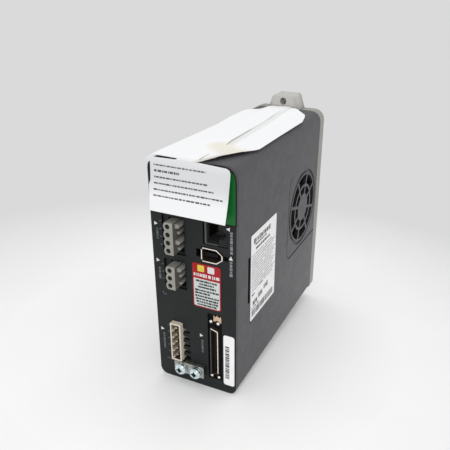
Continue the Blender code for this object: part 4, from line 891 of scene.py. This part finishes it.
def make_prints():
    """Pointers, abstract print, and painted highlights on the front: light pole marks for small
    moulded ribs and light marks on the lit corners of the connector recesses.
    """
    pointers = []
    for x, z, way in ((-24.2, 109.2, 1), (-24.3, 85.0, 1), (-24.2, 35.7, 1), (3.9, 38.7, 1),
                      (22.3, 114.4, -1)):
        size = 1.15 * way
        pointers.append([(x - size, z + 1.2), (x + size, z), (x - size, z - 1.2)])
    x, z, size = 24.1, 96.9, 1.3
    pointers.append([(x - size, z - size), (x + size, z - size), (x, z + size)])
    print_marks("print_pointers", pointers, "front", -FRONT_Y, WHITE_INK)
    # The pole marks are painted highlights: light lines for small moulded ribs beside each pole.
    poles = []
    for middle, count in ((103.7, 4), (78.1, 3), (29.8, 5)):
        left, right = (-21.9, -20.6) if count < 5 else (-20.4, -18.2)
        poles += [(left, z - 0.25, right, z + 0.25) for z in spread(count, middle)]
    words = dashes(1, 99.5, 106.4, -23.6, 1.4) + dashes(2, 72.5, 80.4, -23.6, 1.4)
    words += dashes(3, 21, 33, -23.4, 1.5) + dashes(4, 26, 35.5, 4.4, 1.5)
    # Painted highlights on the lit lower left corners of the connector recesses.
    corner_highlights = [(-22.4, 62.0, -19.6, 62.5), (-22.4, 62.0, -21.9, 64.0), (-22.2, 13.4, -19.4, 13.9)]
    print_marks("print_words", flip(words) + corner_highlights + poles, "front", -FRONT_Y, GREY_PRINT_AND_HIGHLIGHT)
    bright = dashes(5, 99.4, 113, 24.5, 1.7, 0.3) + dashes(6, 85.0, 94.8, 24.2, 1.9, 0.3)
    print_marks("print_words_right", flip(bright), "front", -FRONT_Y, PALE_INK)


def make_front_labels():
    """Notice with generic tiles and bars, and the long label beside the signal connector."""
    level = -FRONT_Y + 0.11
    card = prism("notice_card", rounded((-0.9, 59.6), (17.7, 89.2), 1.5), "front", level,
                 level + 0.14, NOTICE, 0.04, 1)
    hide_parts("warning_label")
    top = level + 0.14
    body = rounded((-0.15, 60.3), (16.95, 79.1), (1.0, 1.0, 0, 0), 3)
    print_marks("notice_field", [body], "front", top, FIELD, 0.02)
    for name, finish, left in (("yellow", YELLOW, 2.6), ("white", WHITE_INK, 9.2)):
        tile = rounded((left, 84.0), (left + 4.4, 88.2), 0.6, 3)
        print_marks("notice_tile_" + name, [tile], "front", top, finish)
    print_marks("notice_title", dashes(7, 0.0, 16.8, 81.6, 2.4, 0.45), "front", top, WHITE_INK)
    lines = [(1.4, 15.2, 77.6), (3.6, 13.2, 75.6), (2.6, 14.4, 73.6), (0.6, 16.4, 71.3),
             (0.6, 10.4, 69.4), (0.6, 16.4, 67.3), (0.8, 15.8, 65.3), (1.2, 16.0, 63.4),
             (1.8, 15.2, 61.5)]
    marks = []
    for i, (start, end, z) in enumerate(lines):
        marks += dashes(20 + i, start, end, z, 1.35, 0.2)
    print_marks("notice_lines", marks, "front", top + 0.02, FIELD_INK)

    card = prism("serial_card", rounded((19.0, 6.4), (26.4, 43.8), 1.5), "front", level,
                 level + 0.14, LABEL, 0.04, 1)
    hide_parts("front_label")
    marks = flip(bars(31, 11.4, 35.5, 20.2, 23.0, (0.35, 1.3), (0.25, 0.6)))
    print_marks("serial_bars", marks, "front", top, BLACK_INK)


def make_side_label():
    """Rating label with abstract rows, symbols as plain tiles and a bar pattern."""
    level = HALF_WIDTH + 0.11
    top = level + 0.11
    card = prism("rating_card", rounded((-134, 43), (-94, 102.5), 1.0, 3), "right", level, top,
                 LABEL, 0.04, 1)
    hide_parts("side_label")
    strong = dashes(40, -130, -104, 97.4, 3.4, 0.5) + dashes(41, -127, -105, 91.6, 1.9, 0.5)
    strong += dashes(49, -128, -110, 94.6, 1.3, 0.4)
    for i, (y, z) in enumerate(((-130.5, 54.6), (-122, 56.0), (-113, 57.6))):
        strong += dashes(42 + i, y, y + 6.5, z, 3.8, 0.5)
    strong += dashes(46, -132, -128, 61.0, 1.6) + dashes(47, -120, -115, 63.5, 1.4)
    strong += dashes(48, -132.5, -120, 51.4, 1.3, 0.8)
    print_marks("rating_strong", strong, "right", top, BLACK_INK)
    soft = []
    for row in range(14):
        z = 88.4 - row * 1.9
        soft += dashes(50 + row, -132.6, -132 + 17 + (row * 7) % 5, z, 1.05, 0.25)
        soft += dashes(70 + row, -113, -112 + 11 + (row * 5) % 7, z, 1.05, 0.25)
    print_marks("rating_rows", soft, "right", top, FAINT_INK)
    marks = bars(90, -132.0, -98, 45.2, 49.8, (0.5, 1.6), (0.2, 0.9))
    print_marks("rating_bars", marks, "right", top, BAR_INK)


# ---- protective paper

TOP_OUTLINE = [(-27.0, -156.0), (-22.2, -156.0), (-21.8, -153.2), (-8.0, -153.9), (-7.2, -156.1),
               (0, -156.0), (5.1, -155.0), (11.6, -148.0), (17.0, -138.4), (21.8, -130.6),
               (25.3, -118.3), (25.4, -87.0), (26.0, -46.9), (23.0, -33.0), (20.8, -26.4),
               (17.2, -21.6), (10.0, -16.9), (-8.2, -16.9), (-13.1, -22.4), (-21.8, -26.9),
               (-24.0, -32.5), (-24.8, -51.1), (-22.6, -77.1), (-23.4, -110.0), (-24.2, -135.0),
               (-24.6, -148.0), (-26.4, -153.0)]
CREASE_X = 4.7


def sample_outline(points, step):
    """Points about a step apart along a closed outline."""
    out = []
    for (x0, y0), (x1, y1) in zip(points, points[1:] + points[:1]):
        across, along = x1 - x0, y1 - y0
        count = max(1, round(math.hypot(across, along) / step))
        out += [(x0 + across * i / count, y0 + along * i / count) for i in range(count)]
    return out


def ease(value, low, high):
    """0 below low, 1 above high and smooth between."""
    t = min(1.0, max(0.0, (value - low) / (high - low)))
    return t * t * (3 - 2 * t)


def droop(x):
    """How far the sheet sinks over the casing's rounded left edge."""
    return 1.5 * ease(-x, 24.2, 27.2)


def top_height(x, y):
    """The paper's height over the casing's top."""
    rise = 0.6 + 1.7 * ease(y, -70, -19) * (1 - ease(abs(x - 1), 10, 17))
    across = x - CREASE_X
    ridge = math.exp(across / 11.0) if across < 0 else 1 - ease(across, 0, 2.6)
    ridge *= 1.0 * ease(y, -122, -112)
    corner = Vector((17.0, -138.4))
    from_edge = (corner - Vector((x, y))).dot(Vector((0.86, -0.51)))
    along = (Vector((x, y)) - corner).dot(Vector((0.51, 0.86)))
    curl = 1.5 * (1 - ease(from_edge, 0, 9)) * (1 - ease(abs(along), 6, 21))
    cockle = 0.25 * noise.noise(Vector((x * 0.05, y * 0.035, 3.1)))
    front = ease(y, -156.4, -151.0)
    side = 1 - ease(abs(x), 17, 26)
    sheet = (rise + ridge * side + curl + cockle * side) * (0.35 + 0.65 * front)
    return HEIGHT + max(sheet, 0.4)


def add_net(cage, outline, step, place, creases=()):
    """An outline filled with an even net of triangles, each flat point put in its place."""
    rim = sample_outline(outline, step)
    points = [Vector(p) for p in rim]
    edges = [(i, (i + 1) % len(rim)) for i in range(len(rim))]
    for start, end in creases:
        count = max(2, round((Vector(end) - Vector(start)).length / step))
        first = len(points)
        points += [Vector(start).lerp(Vector(end), i / count) for i in range(count + 1)]
        edges += [(first + i, first + i + 1) for i in range(count)]
    xs = [p[0] for p in rim]
    ys = [p[1] for p in rim]
    row = 0
    y = min(ys) + step
    while y < max(ys):
        x = min(xs) + (step / 2 if row % 2 else step)
        while x < max(xs):
            spot = Vector((x, y))
            if all((spot - p).length > step * 0.55 for p in points):
                points.append(spot)
            x += step
        y += step * 0.87
        row += 1
    net = geometry.delaunay_2d_cdt(points, edges, [list(range(len(rim)))], 1, 1e-5)
    verts = [cage.verts.new(place(p.x, p.y)) for p in net[0]]
    for face in net[2]:
        cage.faces.new([verts[i] for i in face])


FLAP_TOP_Z = 150.6
FLAP_LOW_Z = 119.3


def flap_y(x, z):
    """How far forward the flap stands at a height: it flares towards its lower edge."""
    down = max(0.0, (FLAP_TOP_Z - z) / (FLAP_TOP_Z - FLAP_LOW_Z))
    side = 0.3 * ease(x, 8, 25) * down + 0.4 * ease(x, 22.8, 25.2)
    return -156.1 - 3.1 * down ** 1.5 - side


def make_paper():
    """One thin sheet: the creased top part and the flap, joined at two stretches of the fold."""
    step = 2.4
    creases = [((4.2, -18.4), (4.9, -119.0)), ((6.8, -19.5), (7.5, -117.0)),
               ((5.0, -151.8), (3.9, -139.0))]
    cage = bmesh.new()
    add_net(cage, TOP_OUTLINE, step, lambda x, y: (x, y, top_height(x, y)), creases)
    flap = [(-27.0, FLAP_TOP_Z), (-27.1, 149.3), (-26.0, 148.0), (-23.9, 147.3), (-23.8, 137.0),
            (-24.9, 134.2), (-24.6, 128.0), (-24.2, FLAP_LOW_Z), (23.4, FLAP_LOW_Z - 0.2),
            (24.5, 132.0), (25.2, 147.2), (24.6, 148.9), (22.8, 149.7), (15.0, 150.1),
            (5.1, FLAP_TOP_Z), (-7.2, FLAP_TOP_Z), (-8.4, 150.4), (-21.6, 150.1),
            (-22.2, FLAP_TOP_Z)]
    add_net(cage, flap, step, lambda x, z: (x, flap_y(x, z), z))
    stitch_fold(cage)
    for vert in cage.verts:
        vert.co.z -= droop(vert.co.x)
    bmesh.ops.recalc_face_normals(cage, faces=cage.faces)
    sheet = thickened("paper_sheet", cage, PAPER, 0.14, 28)
    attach(sheet, ROOT)
    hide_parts("protective_paper")
    prints = make_paper_print()


def stitch_fold(cage):
    """Join the top part and the flap where they still hang together, by moving the flap's top
    points onto the nearest points of the top part.
    """
    upper = sorted((v for v in cage.verts if v.co.y < -155.3 and v.co.z > FLAP_TOP_Z - 0.2
                    and abs(v.co.z - top_height(v.co.x, v.co.y)) < 0.05), key=lambda v: v.co.x)
    for vert in list(cage.verts):
        at_top = abs(vert.co.z - FLAP_TOP_Z) < 0.02 and vert.co.y < -155.9
        joined = vert.co.x < -22.1 or -7.3 < vert.co.x < 5.2
        if at_top and joined and upper:
            near = min(upper, key=lambda v: (v.co - vert.co).length)
            if (near.co - vert.co).length < 1.6:
                vert.co = near.co
    bmesh.ops.remove_doubles(cage, verts=cage.verts, dist=0.02)


def make_paper_print():
    """Six lines of abstract print just clear of the flap, following its flare."""
    lines = ((145.9, -21.6, 10.5, 0.9), (142.6, -21.4, -5.5, 1.5), (139.1, -21.4, 12.5, 1.0),
             (135.6, -21.6, 15.5, 1.0), (132.0, -21.8, 22.0, 1.0), (128.5, -22.0, 14.5, 1.0))
    cage = bmesh.new()
    for i, (z, start, end, height) in enumerate(lines):
        for mark in dashes(100 + i, start, end, z, height, 0.3):
            cage.faces.new([cage.verts.new((u, flap_y(u, v) - 0.11, v))
                            for u, v in rounded(mark[:2], mark[2:], 0)])
    return to_object("paper_print", cage, PAPER_INK)


# ---- stage, light and camera

def floor_height(y):
    (y0, z0), (y1, z1) = FLOOR_FRONT, FLOOR_REAR
    return z0 + (z1 - z0) * (y - y0) / (y1 - y0)


def make_stage():
    """A pale tilted floor that fades into the backdrop's tone."""
    look = Look("floor_pale", 0.6, Emission_Color=(1, 1, 1, 1), Emission_Strength=0.13)
    cloud = look.noise(160.0, 2.0)
    look.colour(look.ramp(cloud, ((0.3, (0.80, 0.80, 0.80)), (0.7, (0.84, 0.84, 0.84)))))
    look.rough(look.noise(40.0, 2.0), 0.5, 0.65)
    fade = soft_patch(look, (-25.0, -95.0, 0.0), 345.0, 0.42)
    clear = look.node("ShaderNodeBsdfTransparent")
    both = look.node("ShaderNodeMixShader")
    look.link(fade, both.inputs[0])
    look.link(clear.outputs[0], both.inputs[1])
    look.link(look.shader.outputs[0], both.inputs[2])
    look.link(both.outputs[0], look.tree.nodes["Material Output"].inputs["Surface"])
    cage = bmesh.new()
    size = 400.0
    corners = [(-size, -size), (size, -size), (size, size), (-size, size)]
    cage.faces.new([cage.verts.new((x, y, floor_height(y))) for x, y in corners])
    floor = to_object("floor", cage, look.material, None)


def area_light(name, location, target, size, power):
    lamp = bpy.data.lights.new(name, "AREA")
    lamp.shape = "SQUARE"
    lamp.size = size * MM
    lamp.energy = power
    holder = add_object(name, lamp)
    holder.location = [c * MM for c in location]
    way = Vector(target) - Vector(location)
    holder.rotation_euler = way.to_track_quat("-Z", "Y").to_euler()


def make_light():
    world = bpy.data.worlds.new("studio")
    bpy.context.scene.world = world
    world.use_nodes = True
    back = world.node_tree.nodes["Background"]
    back.inputs["Color"].default_value = (0.70, 0.70, 0.70, 1)
    back.inputs["Strength"].default_value = 1.0
    area_light("softbox_top", (-40, 40, 900), (0, -60, 60), 900, 2.4)
    area_light("softbox_right", (620, 300, 120), (20, -40, 60), 500, 0.5)
    area_light("softbox_front", (230, -760, 360), (0, -150, 60), 520, 1.75)


def make_camera():
    azimuth, elevation, roll = (math.radians(a) for a in (23.957, 25.217, 0.712))
    back = Vector((math.sin(azimuth) * math.cos(elevation),
                   -math.cos(azimuth) * math.cos(elevation), math.sin(elevation)))
    right = back.cross(Vector((0, 0, -1))).normalized()
    up = back.cross(right)
    across = right * math.cos(roll) + up * math.sin(roll)
    upward = up * math.cos(roll) - right * math.sin(roll)
    data = bpy.data.cameras.new("camera")
    data.lens = 43.497
    data.sensor_width = 36.0
    data.shift_x = -0.0507
    data.shift_y = 0.0178
    data.clip_start = 0.01
    camera = add_object("camera", data)
    turn = Matrix((across, upward, back)).transposed().to_4x4()
    spot = Vector((0, -77, 75)) + back * 384.9
    camera.matrix_world = Matrix.Translation(spot * MM) @ turn
    bpy.context.scene.camera = camera


make_camera()
make_casing()
make_plugs()
make_motor_socket()
make_signal_sockets()
make_earth()
make_rotor()
make_prints()
make_front_labels()
make_side_label()
make_paper()
make_stage()
make_light()
bpy.context.scene.view_settings.view_transform = "Standard"
